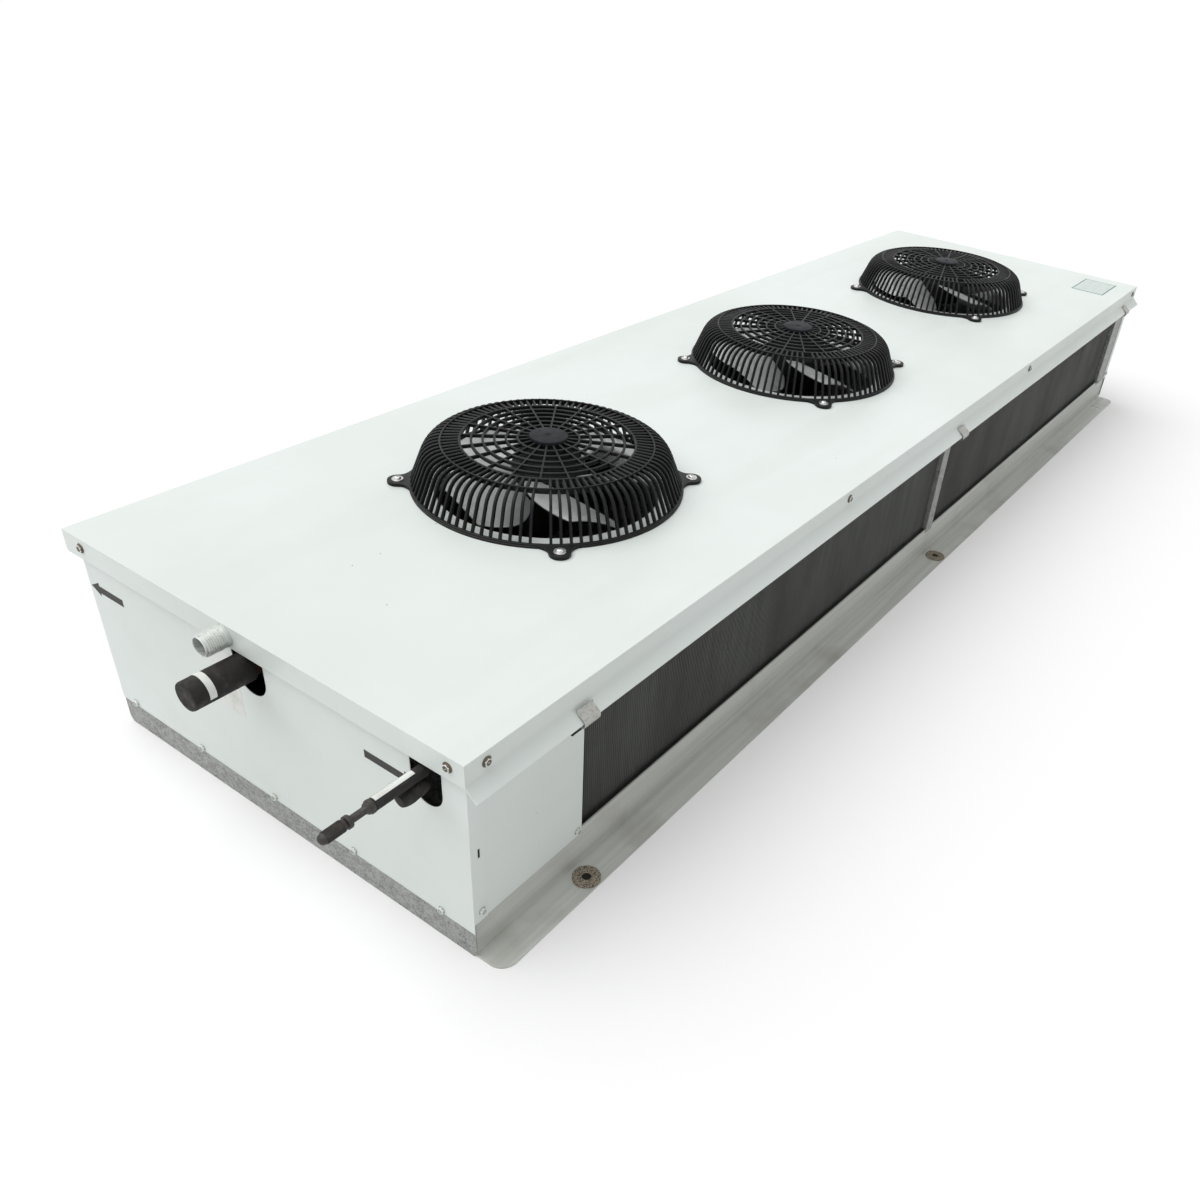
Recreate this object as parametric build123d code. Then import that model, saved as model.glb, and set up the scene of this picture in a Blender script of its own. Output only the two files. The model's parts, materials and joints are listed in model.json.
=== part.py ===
from build123d import *
from math import cos, radians, sin, sqrt
import os

# Low-profile unit cooler, two coils and three axial fans, standing on its hanging rails
# with the fan side up.  +X runs from the connection end to the far end, +Y from the front
# long side to the back one, +Z up.  The origin is the centre of the casing on the plane
# that the rails lie on, which is the ceiling plane once the cooler is hung.

# Casing
casing_length = 2280.0
casing_width = 627.0
cooler_height = 283.0  # rail underside to the fan tray's face
sheet = 1.2
touch = 0.3  # play left between neighbouring loose pieces

# Base sheet with turned-up ends
base_corner_radius = 10.0

# Hanging rails
rail_sheet = 2.0
rail_web_height = 60.0
rail_flange_reach = 37.0  # outwards from the casing's side
rail_corner_radius = 20.0
back_rail_setback = 28.0  # the back rail starts this far in from the connection end
hanger_from_near_end = 162.0
hanger_from_far_end = 90.0
hanger_slot_length = 26.0
hanger_slot_width = 9.0
hanger_out = 19.0  # slot centre outwards from the casing's side

# Hanger washers
washer_diameter = 36.0
washer_bore = 10.0
washer_thickness = 3.0

# Panels and covers
panel_bottom = 39.0
cover_bottom = 53.0
panel_wrap = 20.0
near_cover_width = 176.0
far_cover_width = 80.0
mid_post_width = 26.0
mid_post_offset = 24.0

# Upper side channels, which carry the coils' tops and the tray's lips
channel_height = 27.0
channel_flange = 24.0

# Fan tray
tray_sheet = 1.0
tray_lip_height = 29.0
tray_end_overhang = 6.0
tray_front_overhang = 5.0
tray_back_overhang = 18.0
drip_out = 14.0
drip_drop = 13.0

# Fans
fan_count = 3
fan_pitch = 670.0
fan_row_offset = 13.0
nozzle_radius = 152.0
nozzle_mouth = 6.0
nozzle_depth = 30.0

# Guards: a moulded basket of side ribs under a ring-and-spoke crown
guard_rim_radius = 184.0
guard_rim_width = 8.0
guard_rim_height = 9.0
guard_screw_square = 282.0
guard_ear_radius = 14.0
guard_ear_neck = 26.0
guard_ear_thickness = 5.0
guard_hub_radius = 26.0
guard_hub_height = 69.0
guard_hub_thickness = 5.0
guard_side_radius = 169.5
guard_side_height = 38.0
guard_shoulder_radius = 152.0
guard_shoulder_height = 57.0
guard_inner_ring_radius = 117.0
guard_crown_height = 62.0
ring_facets = 60  # sides that stand for a moulded ring's round
guard_ring_width = 2.6
guard_ring_height = 3.0
rib_width = 2.4
rib_depth = 4.0
rib_pitch_angle = 12.0  # every third rib of the moulding's 4 degree pitch
rib_first_angle = 2.0
rib_gap_angle = 218.0  # one rib is left out here for the motor lead
rib_inner_set = 0.5  # how far a rib's inner line is set inwards at its bends, against its depth
spoke_count = 20
spoke_width = 1.8
spoke_sink = 1.0  # how far a spoke runs on into the hub

# Fan motors, outer-rotor type: the stator hangs from the guard's hub
motor_boss_radius = 20.0
stator_radius = 44.0
stator_height = 22.0
stator_drop = 12.0  # stator top below the guard hub's underside
shaft_radius = 6.0
shaft_clearance = 0.03
shaft_length = 26.0
rotor_gap = 0.6

# Impellers
rotor_radius = 50.0
rotor_height = 44.0
rotor_edge_round = 5.0
blade_count = 5
blade_tip_radius = 149.0
blade_thickness = 2.0
blade_root_chord = 62.0
blade_middle_chord = 124.0
blade_tip_chord = 76.0
blade_root_angle = 30.0
blade_tip_angle = 18.0
blade_sweep = 13.5
blade_first_angle = 14.0
blade_camber = 0.09  # rise of the arc against its chord
blade_sink = 4.0  # how far a blade's root runs on into the rotor
blade_middle_sweep = 0.55  # share of the sweep reached at half radius

# Coils
coil_depth = 84.0
coil_face_inset = 10.0
coil_bottom = 14.0
coil_top_gap = 12.0
coil_overlap = 12.0  # finned length that runs on behind each cover
tube_sheet_thickness = 2.0
main_fin_count = 25  # fins that stand for the whole pack, about 85 apart
main_fin_thickness = 2.0
main_fin_depth = 10.0  # how far they stand out of the pack's solid core

# Suction line
suction_y = 9.5
suction_drop = 47.0  # axis below the tray's face
suction_radius = 14.0
suction_reach = 71.0  # beyond the connection end panel
suction_cap_wall = 3.3
header_inset = 90.0  # header axis inwards from the connection end panel
header_drop = 133.0  # axis below the tray's face
header_leg_scale = 0.8  # riser and coil legs against the suction pipe
header_end_play = 12.0
suction_notch_radius = 26.0
suction_notch_depth = 86.0  # below the tray's face

# Liquid line
liquid_from_front = 55.0  # axis inwards from the front side
liquid_drop = 41.0  # axis below the tray's face
liquid_radius = 5.0
liquid_sleeve_radius = 7.0
liquid_sleeve_reach = 65.0
liquid_collar_length = 5.0
liquid_collar_radius = 7.5
service_tube_radius = 4.0
service_tube_length = 26.0
valve_cap_radius = 6.5
valve_cap_length = 29.0
valve_cap_wall = 2.0
liquid_notch_radius = 21.5
liquid_notch_depth = 88.0
liquid_grommet_radius = 11.0
liquid_grommet_length = 34.0

# Drain stub
drain_y = 31.5
drain_drop = 14.5  # axis below the tray's face
drain_radius = 13.2
drain_bore_radius = 10.5
drain_length = 30.0

# Screws
screw_head_across = 8.0
screw_head_height = 3.2
lip_screw_drop = 13.0
lip_side_screw_from_end = 23.0
lip_side_screw_middle = 379.0
lip_end_screw_inset = 16.5  # inwards from the casing's side
panel_screw_rise = 5.0  # above the end panel's lower edge
panel_screw_pitch = 137.0
panel_screw_shift = 9.0
panel_screw_count = 5
cover_screw_inset = 8.0
wrap_screw_inset = 12.0
wrap_screw_rise = 14.0  # above the covers' lower edge

# Tray clips on the drip edges, in line with the hangers
clip_length = 26.0
clip_out = 4.0
clip_height = 10.0
clip_sheet = 1.5

# Planes that several pieces share
near_x = -casing_length / 2
far_x = casing_length / 2
front_y = -casing_width / 2
back_y = casing_width / 2
tray_under = cooler_height - tray_sheet
cover_face = back_y - sheet  # outer face of covers and posts, behind the end panels' wraps
web_face = cover_face - sheet  # outer face of rail webs and upper channels
frame_face = web_face - rail_sheet  # their inner face
tray_near = near_x - tray_end_overhang
tray_far = far_x + tray_end_overhang
tray_front = front_y - tray_front_overhang
tray_back = back_y + tray_back_overhang
fan_y = (tray_front + tray_back) / 2
fan_places = [(fan_row_offset + (i - (fan_count - 1) / 2) * fan_pitch, fan_y) for i in range(fan_count)]
hanger_near_x = near_x + hanger_from_near_end
hanger_far_x = far_x - hanger_from_far_end
hanger_middle_x = (hanger_near_x + hanger_far_x) / 2
hanger_xs = (hanger_near_x, hanger_middle_x, hanger_far_x)
coil_near = near_x + near_cover_width - coil_overlap
coil_far = far_x - far_cover_width + coil_overlap
coil_outer = casing_width / 2 - coil_face_inset
coil_inner = coil_outer - coil_depth
coil_top = tray_under - coil_top_gap
channel_bottom = tray_under - channel_height
suction_z = cooler_height - suction_drop
header_z = cooler_height - header_drop
liquid_y = front_y + liquid_from_front
liquid_z = cooler_height - liquid_drop
drain_z = cooler_height - drain_drop
bore_play = touch / 10  # round the pipes inside their caps and sleeve
leg_radius = suction_radius * header_leg_scale
sides = (("front", -1), ("back", 1))

os.makedirs("parts", exist_ok=True)


def save(name, shape):
    """Write one node; several solids go out as one compound."""
    solids = shape.solids()
    out = solids[0] if len(solids) == 1 else Compound(children=list(solids))
    out.label = name
    export_step(out, f"parts/{name}.step")


def slab(x0, x1, y0, y1, z0, z1):
    """A plain box given by its six faces."""
    return Pos((x0 + x1) / 2, (y0 + y1) / 2, (z0 + z1) / 2) * Box(x1 - x0, y1 - y0, z1 - z0)


def on_side(side, shape):
    """The shape is drawn for the back long side; the front one is its mirror image."""
    return shape if side > 0 else mirror(shape, about=Plane.XZ)


def rod(radius, start, direction, length):
    """A round bar from start along a direction."""
    return Plane(origin=start, z_dir=direction) * Cylinder(
        radius, length, align=(Align.CENTER, Align.CENTER, Align.MIN)
    )


def tube(outer, inner, start, direction, length):
    """A straight pipe with an open bore."""
    return rod(outer, start, direction, length) - rod(inner, start, direction, length)


def hex_heads(seats):
    """Hexagon screw heads, one on each seat, which is a place and its outward direction."""
    head = extrude(RegularPolygon(screw_head_across / 2, 6, major_radius=False), screw_head_height)
    return [Plane(origin=place, z_dir=out) * head for place, out in seats]


# Screw seats: place and outward direction of every head
def lip_screw_seats():
    z = cooler_height - lip_screw_drop
    side_xs = (
        near_x + lip_side_screw_from_end,
        -lip_side_screw_middle,
        lip_side_screw_middle,
        far_x - lip_side_screw_from_end,
    )
    seats = [((x, y, z), (0, way, 0)) for y, way in ((tray_front, -1), (tray_back, 1)) for x in side_xs]
    for x, way in ((tray_near, -1), (tray_far, 1)):
        ys = (front_y + lip_end_screw_inset, back_y - lip_end_screw_inset)
        seats += [((x, y, z), (way, 0, 0)) for y in ys]
    return seats


def panel_screw_seats(x, way):
    first = panel_screw_shift - (panel_screw_count - 1) / 2 * panel_screw_pitch
    ys = [first + i * panel_screw_pitch for i in range(panel_screw_count)]
    seats = [((x, y, panel_bottom + panel_screw_rise), (-way, 0, 0)) for y in ys]
    wrap_x = x + way * wrap_screw_inset
    return seats + [((wrap_x, s * back_y, cover_bottom + wrap_screw_rise), (0, s, 0)) for _, s in sides]


def base_sheet():
    """The sheet that lies against the ceiling, with its two ends turned up behind the end panels."""
    inner = frame_face - touch
    end = near_x + sheet
    flat = slab(end, -end, -inner, inner, 0, sheet)
    upright = Rectangle(casing_width, cover_bottom - touch, align=(Align.CENTER, Align.MIN))
    rounded = fillet(upright.vertices().group_by(Axis.Y)[0], base_corner_radius)
    strip = extrude(Plane.YZ * rounded, sheet)
    return flat + Pos(end, 0, 0) * strip + Pos(-end - sheet, 0, 0) * strip


def rail(side):
    """An angle of thick sheet: the web stands along the casing, the flange lies outwards with its slots."""
    start = near_x + 2 * sheet + touch
    end = far_x - 2 * sheet - touch
    flange_start = near_x + back_rail_setback if side > 0 else start
    outer = casing_width / 2 + rail_flange_reach
    web = slab(start, end, frame_face, web_face, 0, rail_web_height)
    flange = slab(flange_start, end, frame_face, outer, 0, rail_sheet)
    corners = flange.edges().filter_by(Axis.Z).group_by(Axis.Y)[-1]
    flange = fillet(corners, rail_corner_radius)
    slot = extrude(SlotOverall(hanger_slot_length, hanger_slot_width, rotation=90), rail_sheet)
    slots = [Pos(x, casing_width / 2 + hanger_out, 0) * slot for x in hanger_xs]
    return on_side(side, web + flange - slots)


def hanger_washers():
    """Fibre washers left on the front rail's near and middle slots."""
    ring = tube(washer_diameter / 2, washer_bore / 2, (0, 0, 0), (0, 0, 1), washer_thickness)
    y = casing_width / 2 + hanger_out
    return Compound(children=[Pos(x, -y, rail_sheet) * ring for x in hanger_xs[:2]])


def pipe_notch(y, radius, depth):
    """A U-shaped notch that is open at the end panel's top edge."""
    bottom = cooler_height - depth
    centre = bottom + radius
    span = 4 * sheet
    arch = rod(radius, (near_x - span / 2, y, centre), (1, 0, 0), span)
    return arch + slab(near_x - span / 2, near_x + span / 2, y - radius, y + radius, centre, cooler_height)


def end_panel(x, way, notched):
    """A painted end panel whose two edges wrap round onto the long sides, with its screw heads."""
    face = slab(*sorted((x, x + way * sheet)), front_y, back_y, panel_bottom, tray_under)
    wrap_x = sorted((x, x + way * panel_wrap))
    wraps = [slab(*wrap_x, *sorted((s * back_y, s * cover_face)), cover_bottom, tray_under) for _, s in sides]
    shape = face + wraps
    if notched:
        shape -= pipe_notch(suction_y, suction_notch_radius, suction_notch_depth)
        shape -= pipe_notch(liquid_y, liquid_notch_radius, liquid_notch_depth)
    return shape.fuse(*hex_heads(panel_screw_seats(x, way)))


def side_cover(side, x_end, x_open):
    """A blank cover beside the coil, with a return flange along its open edge."""
    low, high = sorted((x_end, x_open))
    face = slab(low, high, web_face, cover_face, cover_bottom, tray_under)
    edge = (high - sheet, high) if x_open > x_end else (low, low + sheet)
    flange = slab(*edge, coil_outer + touch, web_face, rail_web_height + touch, channel_bottom - touch)
    inwards = -1 if x_open > x_end else 1
    seat = ((x_open + inwards * cover_screw_inset, cover_face, cover_bottom + cover_screw_inset), (0, 1, 0))
    return on_side(side, (face + flange).fuse(*hex_heads([seat])))


def mid_post(side):
    """The narrow channel over the joint at the middle of each coil face."""
    x0, x1 = mid_post_offset - mid_post_width / 2, mid_post_offset + mid_post_width / 2
    face = slab(x0, x1, web_face, cover_face, cover_bottom, tray_under)
    leg_z = (rail_web_height + touch, channel_bottom - touch)
    legs = [slab(x, x + sheet, coil_outer + touch, web_face, *leg_z) for x in (x0, x1 - sheet)]
    return on_side(side, face + legs)


def upper_channel(side):
    """The angle under the tray's edge that ties the end panels together."""
    start = near_x + sheet
    web = slab(start, -start, frame_face, web_face, channel_bottom, tray_under)
    top = slab(start, -start, web_face - channel_flange, frame_face, tray_under - rail_sheet, tray_under)
    return on_side(side, web + top)


def fan_tray():
    """The drip tray: lips all round, drip edges along the sides and a drawn nozzle for each fan."""
    low = cooler_height - tray_lip_height
    body = slab(tray_near, tray_far, tray_front, tray_back, low, cooler_height)
    inside = slab(
        tray_near + tray_sheet,
        tray_far - tray_sheet,
        tray_front + tray_sheet,
        tray_back - tray_sheet,
        low,
        tray_under,
    )
    shape = body - inside
    for side, y, start in ((-1, tray_front, tray_near), (1, tray_back, near_x + back_rail_setback)):
        shape += drip_edge(side, y, start, low)
    for x, y in fan_places:
        shape -= Pos(x, y, cooler_height) * Cylinder(nozzle_radius + nozzle_mouth, 4 * tray_sheet)
        shape += Pos(x, y, cooler_height) * nozzle()
    shape -= rod(drain_bore_radius, (tray_near, drain_y, drain_z), (1, 0, 0), 2 * tray_sheet)
    return shape.fuse(*hex_heads(lip_screw_seats()))


def drip_edge(side, y, start, low):
    """The lip's foot, folded outwards and down so that drops fall clear of the coil."""
    profile = Polyline(
        (y, low + tray_sheet),
        (y, low),
        (y + side * (drip_out - tray_sheet), low - drip_drop + tray_sheet),
        (y + side * drip_out, low - drip_drop + tray_sheet),
        (y + side * drip_out, low - drip_drop + 2 * tray_sheet),
        (y, low + 2 * tray_sheet),
        close=True,
    )
    across = Plane(origin=(start, 0, 0), x_dir=(0, 1, 0), z_dir=(1, 0, 0))
    return extrude(across * make_face(profile), tray_far - start)


def nozzle():
    """A ring drawn inwards from the tray: a flared mouth and a straight throat."""
    mouth = nozzle_radius + nozzle_mouth
    profile = Polyline(
        (mouth, 0),
        (mouth, -tray_sheet),
        (nozzle_radius + tray_sheet, -nozzle_mouth),
        (nozzle_radius + tray_sheet, -nozzle_depth),
        (nozzle_radius, -nozzle_depth),
        (nozzle_radius, -nozzle_mouth),
        close=True,
    )
    return revolve(make_face(Plane.XZ * profile), Axis.Z)


def tray_clips():
    """Folded sheet clips under the drip edges, in line with the hangers."""
    low = cooler_height - tray_lip_height - drip_drop + tray_sheet
    pieces = []
    for _, side in sides:
        y = (tray_front if side < 0 else tray_back) + side * drip_out
        inner, outer = sorted((y, y + side * clip_sheet))
        half = clip_length / 2
        span = (low - clip_out, low + clip_height)
        pieces += [slab(x - half, x + half, inner, outer, *span) for x in hanger_xs]
    return Compound(children=pieces)


def guard():
    """One moulded fan guard, drawn around the fan's axis with the tray's face at z = 0."""
    rim_inside = guard_rim_radius - guard_rim_width
    rim = extrude(round_band(guard_rim_radius, rim_inside), guard_rim_height)
    rib = guard_rib()
    steps = round(360 / rib_pitch_angle)
    angles = [rib_first_angle + i * rib_pitch_angle for i in range(steps)]
    ribs = [Rot(0, 0, a) * rib for a in angles if abs(a - rib_gap_angle) > rib_pitch_angle / 2]
    half = guard_screw_square / 2
    seats = [((i * half, j * half, guard_ear_thickness), (0, 0, 1)) for i in (-1, 1) for j in (-1, 1)]
    return rim.fuse(guard_ears(), guard_crown(), *ribs, *hex_heads(seats))


def round_band(outer, inner):
    """The plan of a moulded ring."""
    return RegularPolygon(outer, ring_facets) - RegularPolygon(inner, ring_facets)


def guard_rib():
    """A side rib: it leans in from the rim, rounds the shoulder and lies flat to the crown's edge."""
    outer = [
        (guard_rim_radius - guard_rim_width / 2, guard_rim_height / 2),
        (guard_side_radius, guard_side_height),
        (guard_shoulder_radius, guard_shoulder_height),
        (guard_inner_ring_radius, guard_crown_height),
    ]
    inner = [
        (guard_inner_ring_radius, guard_crown_height - rib_depth),
        (guard_shoulder_radius - rib_depth * rib_inner_set, guard_shoulder_height - rib_depth),
        (guard_side_radius - rib_depth, guard_side_height - rib_depth * rib_inner_set),
        (guard_rim_radius - guard_rim_width / 2 - rib_depth, guard_rim_height / 2),
    ]
    face = make_face(Plane.XZ * Polyline(*outer, *inner, close=True))
    return extrude(face, rib_width / 2, both=True)


def guard_ears():
    """Four screw ears, each necked into the rim."""
    reach = guard_screw_square / sqrt(2)
    with BuildSketch() as plan:
        for angle in (45, 135, 225, 315):
            with Locations(Rot(0, 0, angle) * Location((reach, 0, 0))):
                Circle(guard_ear_radius)
            with BuildLine():
                a = radians(angle)
                along, across = Vector(cos(a), sin(a)), Vector(-sin(a), cos(a))
                root = guard_rim_radius - guard_rim_width
                tip = along * reach
                foot = along * root
                Polyline(
                    foot + across * guard_ear_neck,
                    tip + across * guard_ear_radius,
                    tip - across * guard_ear_radius,
                    foot - across * guard_ear_neck,
                    close=True,
                )
            make_face()
    ears = extrude(plan.sketch, guard_ear_thickness)
    opening = RegularPolygon(guard_rim_radius - guard_rim_width, ring_facets)
    return ears - extrude(opening, guard_ear_thickness)


def guard_crown():
    """The hub disc, its spokes and the concentric rings, with the boss that the motor hangs from."""
    rise = guard_hub_height - guard_hub_thickness / 2 - guard_crown_height
    span = guard_inner_ring_radius - guard_hub_radius

    def height(radius):
        return guard_crown_height + rise * (guard_inner_ring_radius - radius) / span

    hub = Pos(0, 0, guard_hub_height - guard_hub_thickness) * Cylinder(
        guard_hub_radius, guard_hub_thickness, align=(Align.CENTER, Align.CENTER, Align.MIN)
    )
    boss = rod(motor_boss_radius, (0, 0, stator_top()), (0, 0, 1), stator_drop)
    profile = Polyline(
        (guard_hub_radius - spoke_sink, height(guard_hub_radius)),
        (guard_inner_ring_radius, height(guard_inner_ring_radius)),
        (guard_inner_ring_radius, height(guard_inner_ring_radius) - guard_ring_height),
        (guard_hub_radius - spoke_sink, height(guard_hub_radius) - guard_ring_height),
        close=True,
    )
    spoke = extrude(make_face(Plane.XZ * profile), spoke_width / 2, both=True)
    spokes = [Rot(0, 0, i * 360 / spoke_count) * spoke for i in range(spoke_count)]
    half = guard_ring_width / 2
    band = round_band(guard_inner_ring_radius + half, guard_inner_ring_radius - half)
    ring = Pos(0, 0, guard_crown_height - guard_ring_height) * extrude(band, guard_ring_height)
    return hub.fuse(boss, ring, *spokes)


def stator_top():
    """Height of the stator's upper face above the tray."""
    return guard_hub_height - guard_hub_thickness - stator_drop


def motor():
    """The fixed half of the fan motor, with the bearing bore that the rotor's shaft runs in."""
    top = stator_top()
    low = top - stator_height
    body = rod(stator_radius, (0, 0, low), (0, 0, 1), stator_height)
    body = chamfer(body.edges().filter_by(GeomType.CIRCLE).group_by(Axis.Z)[-1], rotor_edge_round)
    bore = rod(shaft_radius + shaft_clearance, (0, 0, low), (0, 0, 1), shaft_length - stator_height / 2)
    return body - bore


def impeller():
    """The turning half: rotor cup, shaft and swept blades."""
    top = stator_top() - stator_height - rotor_gap
    cup = rod(rotor_radius, (0, 0, top - rotor_height), (0, 0, 1), rotor_height)
    cup = chamfer(cup.edges().filter_by(GeomType.CIRCLE).group_by(Axis.Z)[0], rotor_edge_round)
    shaft = rod(shaft_radius, (0, 0, top), (0, 0, 1), shaft_length - stator_height / 2 - rotor_gap)
    blade = impeller_blade(top - rotor_height / 2)
    turns = [blade_first_angle + i * 360 / blade_count for i in range(blade_count)]
    blades = [Rot(0, 0, turn) * blade for turn in turns]
    return cup.fuse(shaft, *blades)


def blade_section(radius, chord, pitch, sweep, height):
    """A thin cambered plate section, standing square to the radius at its own sweep angle."""
    camber = chord * blade_camber
    half = chord / 2
    plane = Plane(origin=(radius, 0, height), x_dir=(0, 1, 0), z_dir=(1, 0, 0))
    upper = ThreePointArc((-half, 0), (0, camber), (half, 0))
    lower = ThreePointArc((half, -blade_thickness), (0, camber - blade_thickness), (-half, -blade_thickness))
    ends = [Line((x, 0), (x, -blade_thickness)) for x in (half, -half)]
    face = plane * (Rot(0, 0, -pitch) * Face(Wire([upper, ends[0], lower, ends[1]])))
    return Rot(0, 0, sweep) * face


def impeller_blade(height):
    """A sickle blade: three sections, each swept further round than the one inside it."""
    middle = (rotor_radius + blade_tip_radius) / 2
    middle_angle = (blade_root_angle + blade_tip_angle) / 2
    middle_sweep = blade_sweep * blade_middle_sweep
    sections = [
        blade_section(rotor_radius - blade_sink, blade_root_chord, blade_root_angle, 0, height),
        blade_section(middle, blade_middle_chord, middle_angle, middle_sweep, height),
        blade_section(blade_tip_radius, blade_tip_chord, blade_tip_angle, blade_sweep, height),
    ]
    blade = loft(sections, ruled=True)
    return blade & Cylinder(blade_tip_radius, 4 * rotor_height)


def coil_fins(side):
    """The fin pack: a solid core with the main fins standing out of its open face."""
    core = slab(coil_near, coil_far, coil_inner, coil_outer - main_fin_depth, coil_bottom, coil_top)
    pitch = (coil_far - coil_near - main_fin_thickness) / (main_fin_count - 1)
    starts = [coil_near + i * pitch for i in range(main_fin_count)]
    face = (coil_outer - main_fin_depth - touch, coil_outer)
    fins = [slab(x, x + main_fin_thickness, *face, coil_bottom, coil_top) for x in starts]
    return on_side(side, core.fuse(*fins))


def coil_plates(side):
    """The two tube sheets, standing on the base sheet between rail and channel."""
    plates = [
        slab(x, x + tube_sheet_thickness, coil_inner, frame_face, sheet, tray_under - rail_sheet)
        for x in (coil_near - tube_sheet_thickness, coil_far)
    ]
    return on_side(side, Compound(children=plates))


def suction_line():
    """The suction pipe, its riser and the header that joins both coils."""
    plate = coil_near - tube_sheet_thickness
    header_x = near_x + header_inset
    leg_y = (coil_outer + coil_inner) / 2
    start = near_x - suction_reach
    half = leg_y + header_end_play
    header = rod(suction_radius, (header_x, -half, header_z), (0, 1, 0), 2 * half)
    legs = [rod(leg_radius, (header_x, s * leg_y, header_z), (1, 0, 0), plate - header_x) for _, s in sides]
    pipe = rod(suction_radius, (start, suction_y, suction_z), (1, 0, 0), header_x + suction_radius - start)
    riser = rod(leg_radius, (header_x, suction_y, header_z), (0, 0, 1), suction_z - header_z)
    return header.fuse(*legs, riser, pipe)


def suction_cap():
    """The black cap pushed over the suction pipe's end."""
    start = near_x - suction_reach - suction_cap_wall
    outer = suction_radius + suction_cap_wall
    body = rod(outer, (start, suction_y, suction_z), (1, 0, 0), suction_reach - touch + suction_cap_wall)
    body = chamfer(body.edges().group_by(Axis.X)[0], suction_cap_wall / 2)
    return body - rod(
        suction_radius + bore_play, (near_x - suction_reach, suction_y, suction_z), (1, 0, 0), suction_reach
    )


def liquid_line():
    """The liquid pipe from its sealed end outside to the front coil's tube sheet."""
    start = near_x - liquid_sleeve_reach
    return rod(liquid_radius, (start, liquid_y, liquid_z), (1, 0, 0), coil_near - tube_sheet_thickness - start)


def liquid_sleeve():
    """The black sleeve on the pipe outside the end panel."""
    return tube(
        liquid_sleeve_radius,
        liquid_radius + bore_play,
        (near_x - liquid_sleeve_reach, liquid_y, liquid_z),
        (1, 0, 0),
        liquid_sleeve_reach - 2 * touch,
    )


def liquid_grommet():
    """The loose rubber end piece that lies under the sleeve, against the end panel."""
    z = liquid_z - liquid_sleeve_radius - liquid_grommet_radius - touch
    start = near_x - liquid_grommet_length - touch
    body = rod(liquid_grommet_radius, (start, liquid_y, z), (1, 0, 0), liquid_grommet_length)
    return chamfer(body.edges().filter_by(GeomType.CIRCLE), liquid_grommet_radius / 3)


def access_valve():
    """The collar and service tube brazed on the pipe's end."""
    end = near_x - liquid_sleeve_reach
    collar_start = (end - liquid_collar_length, liquid_y, liquid_z)
    collar = rod(liquid_collar_radius, collar_start, (1, 0, 0), liquid_collar_length)
    inside = valve_cap_length - 2 * valve_cap_wall
    length = liquid_collar_length + service_tube_length + inside
    return collar + rod(service_tube_radius, (end - length, liquid_y, liquid_z), (1, 0, 0), length)


def valve_cap():
    """The knurled cap on the service tube."""
    end = near_x - liquid_sleeve_reach - liquid_collar_length - service_tube_length
    body = rod(valve_cap_radius, (end - valve_cap_length, liquid_y, liquid_z), (1, 0, 0), valve_cap_length)
    body = chamfer(body.edges().filter_by(GeomType.CIRCLE), valve_cap_wall / 2)
    depth = valve_cap_length - 2 * valve_cap_wall
    return body - rod(service_tube_radius + bore_play, (end - depth, liquid_y, liquid_z), (1, 0, 0), depth)


def drain_stub():
    """The threaded outlet that stands on the tray's lip."""
    start = tray_near - drain_length
    body = rod(drain_radius, (start, drain_y, drain_z), (1, 0, 0), drain_length)
    body = chamfer(body.edges().group_by(Axis.X)[0], tray_sheet)
    return body - rod(drain_bore_radius, (start, drain_y, drain_z), (1, 0, 0), drain_length)


save("base_sheet", base_sheet())
save("hanger_washers", hanger_washers())
for name, side in sides:
    save(f"rail_{name}", rail(side))
    save(f"upper_channel_{name}", upper_channel(side))
    save(f"side_cover_{name}", side_cover(side, near_x + sheet, near_x + near_cover_width))
    save(f"far_cover_{name}", side_cover(side, far_x - sheet, far_x - far_cover_width))
    save(f"mid_post_{name}", mid_post(side))
    save(f"coil_fins_{name}", coil_fins(side))
    save(f"coil_plates_{name}", coil_plates(side))
save("end_panel_connection", end_panel(near_x, 1, notched=True))
save("end_panel_far", end_panel(far_x, -1, notched=False))
save("fan_tray", fan_tray())
save("tray_clips", tray_clips())
one_guard, one_motor, one_impeller = guard(), motor(), impeller()
for number, (x, y) in enumerate(fan_places, start=1):
    place = Pos(x, y, cooler_height)
    save(f"guard_{number}", place * one_guard)
    save(f"motor_{number}", place * one_motor)
    save(f"impeller_{number}", place * one_impeller)
save("suction_line", suction_line())
save("suction_cap", suction_cap())
save("liquid_line", liquid_line())
save("liquid_sleeve", liquid_sleeve())
save("liquid_grommet", liquid_grommet())
save("access_valve", access_valve())
save("valve_cap", valve_cap())
save("drain_stub", drain_stub())
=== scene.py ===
"""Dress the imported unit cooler: finishes, fine parts, floor, light and camera.

The cooler stands on its hanging rails with the fan side up.  Every length is in metres in
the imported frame: +X runs from the connection end to the far end, +Y from the front long side
to the back one, +Z up, and z = 0 is the plane that the rails lie on.
"""

from __future__ import annotations

import json
import logging
import math
from dataclasses import dataclass, field
from enum import Enum
from typing import Sequence

import bmesh
import bpy
from mathutils import Matrix, Vector

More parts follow.
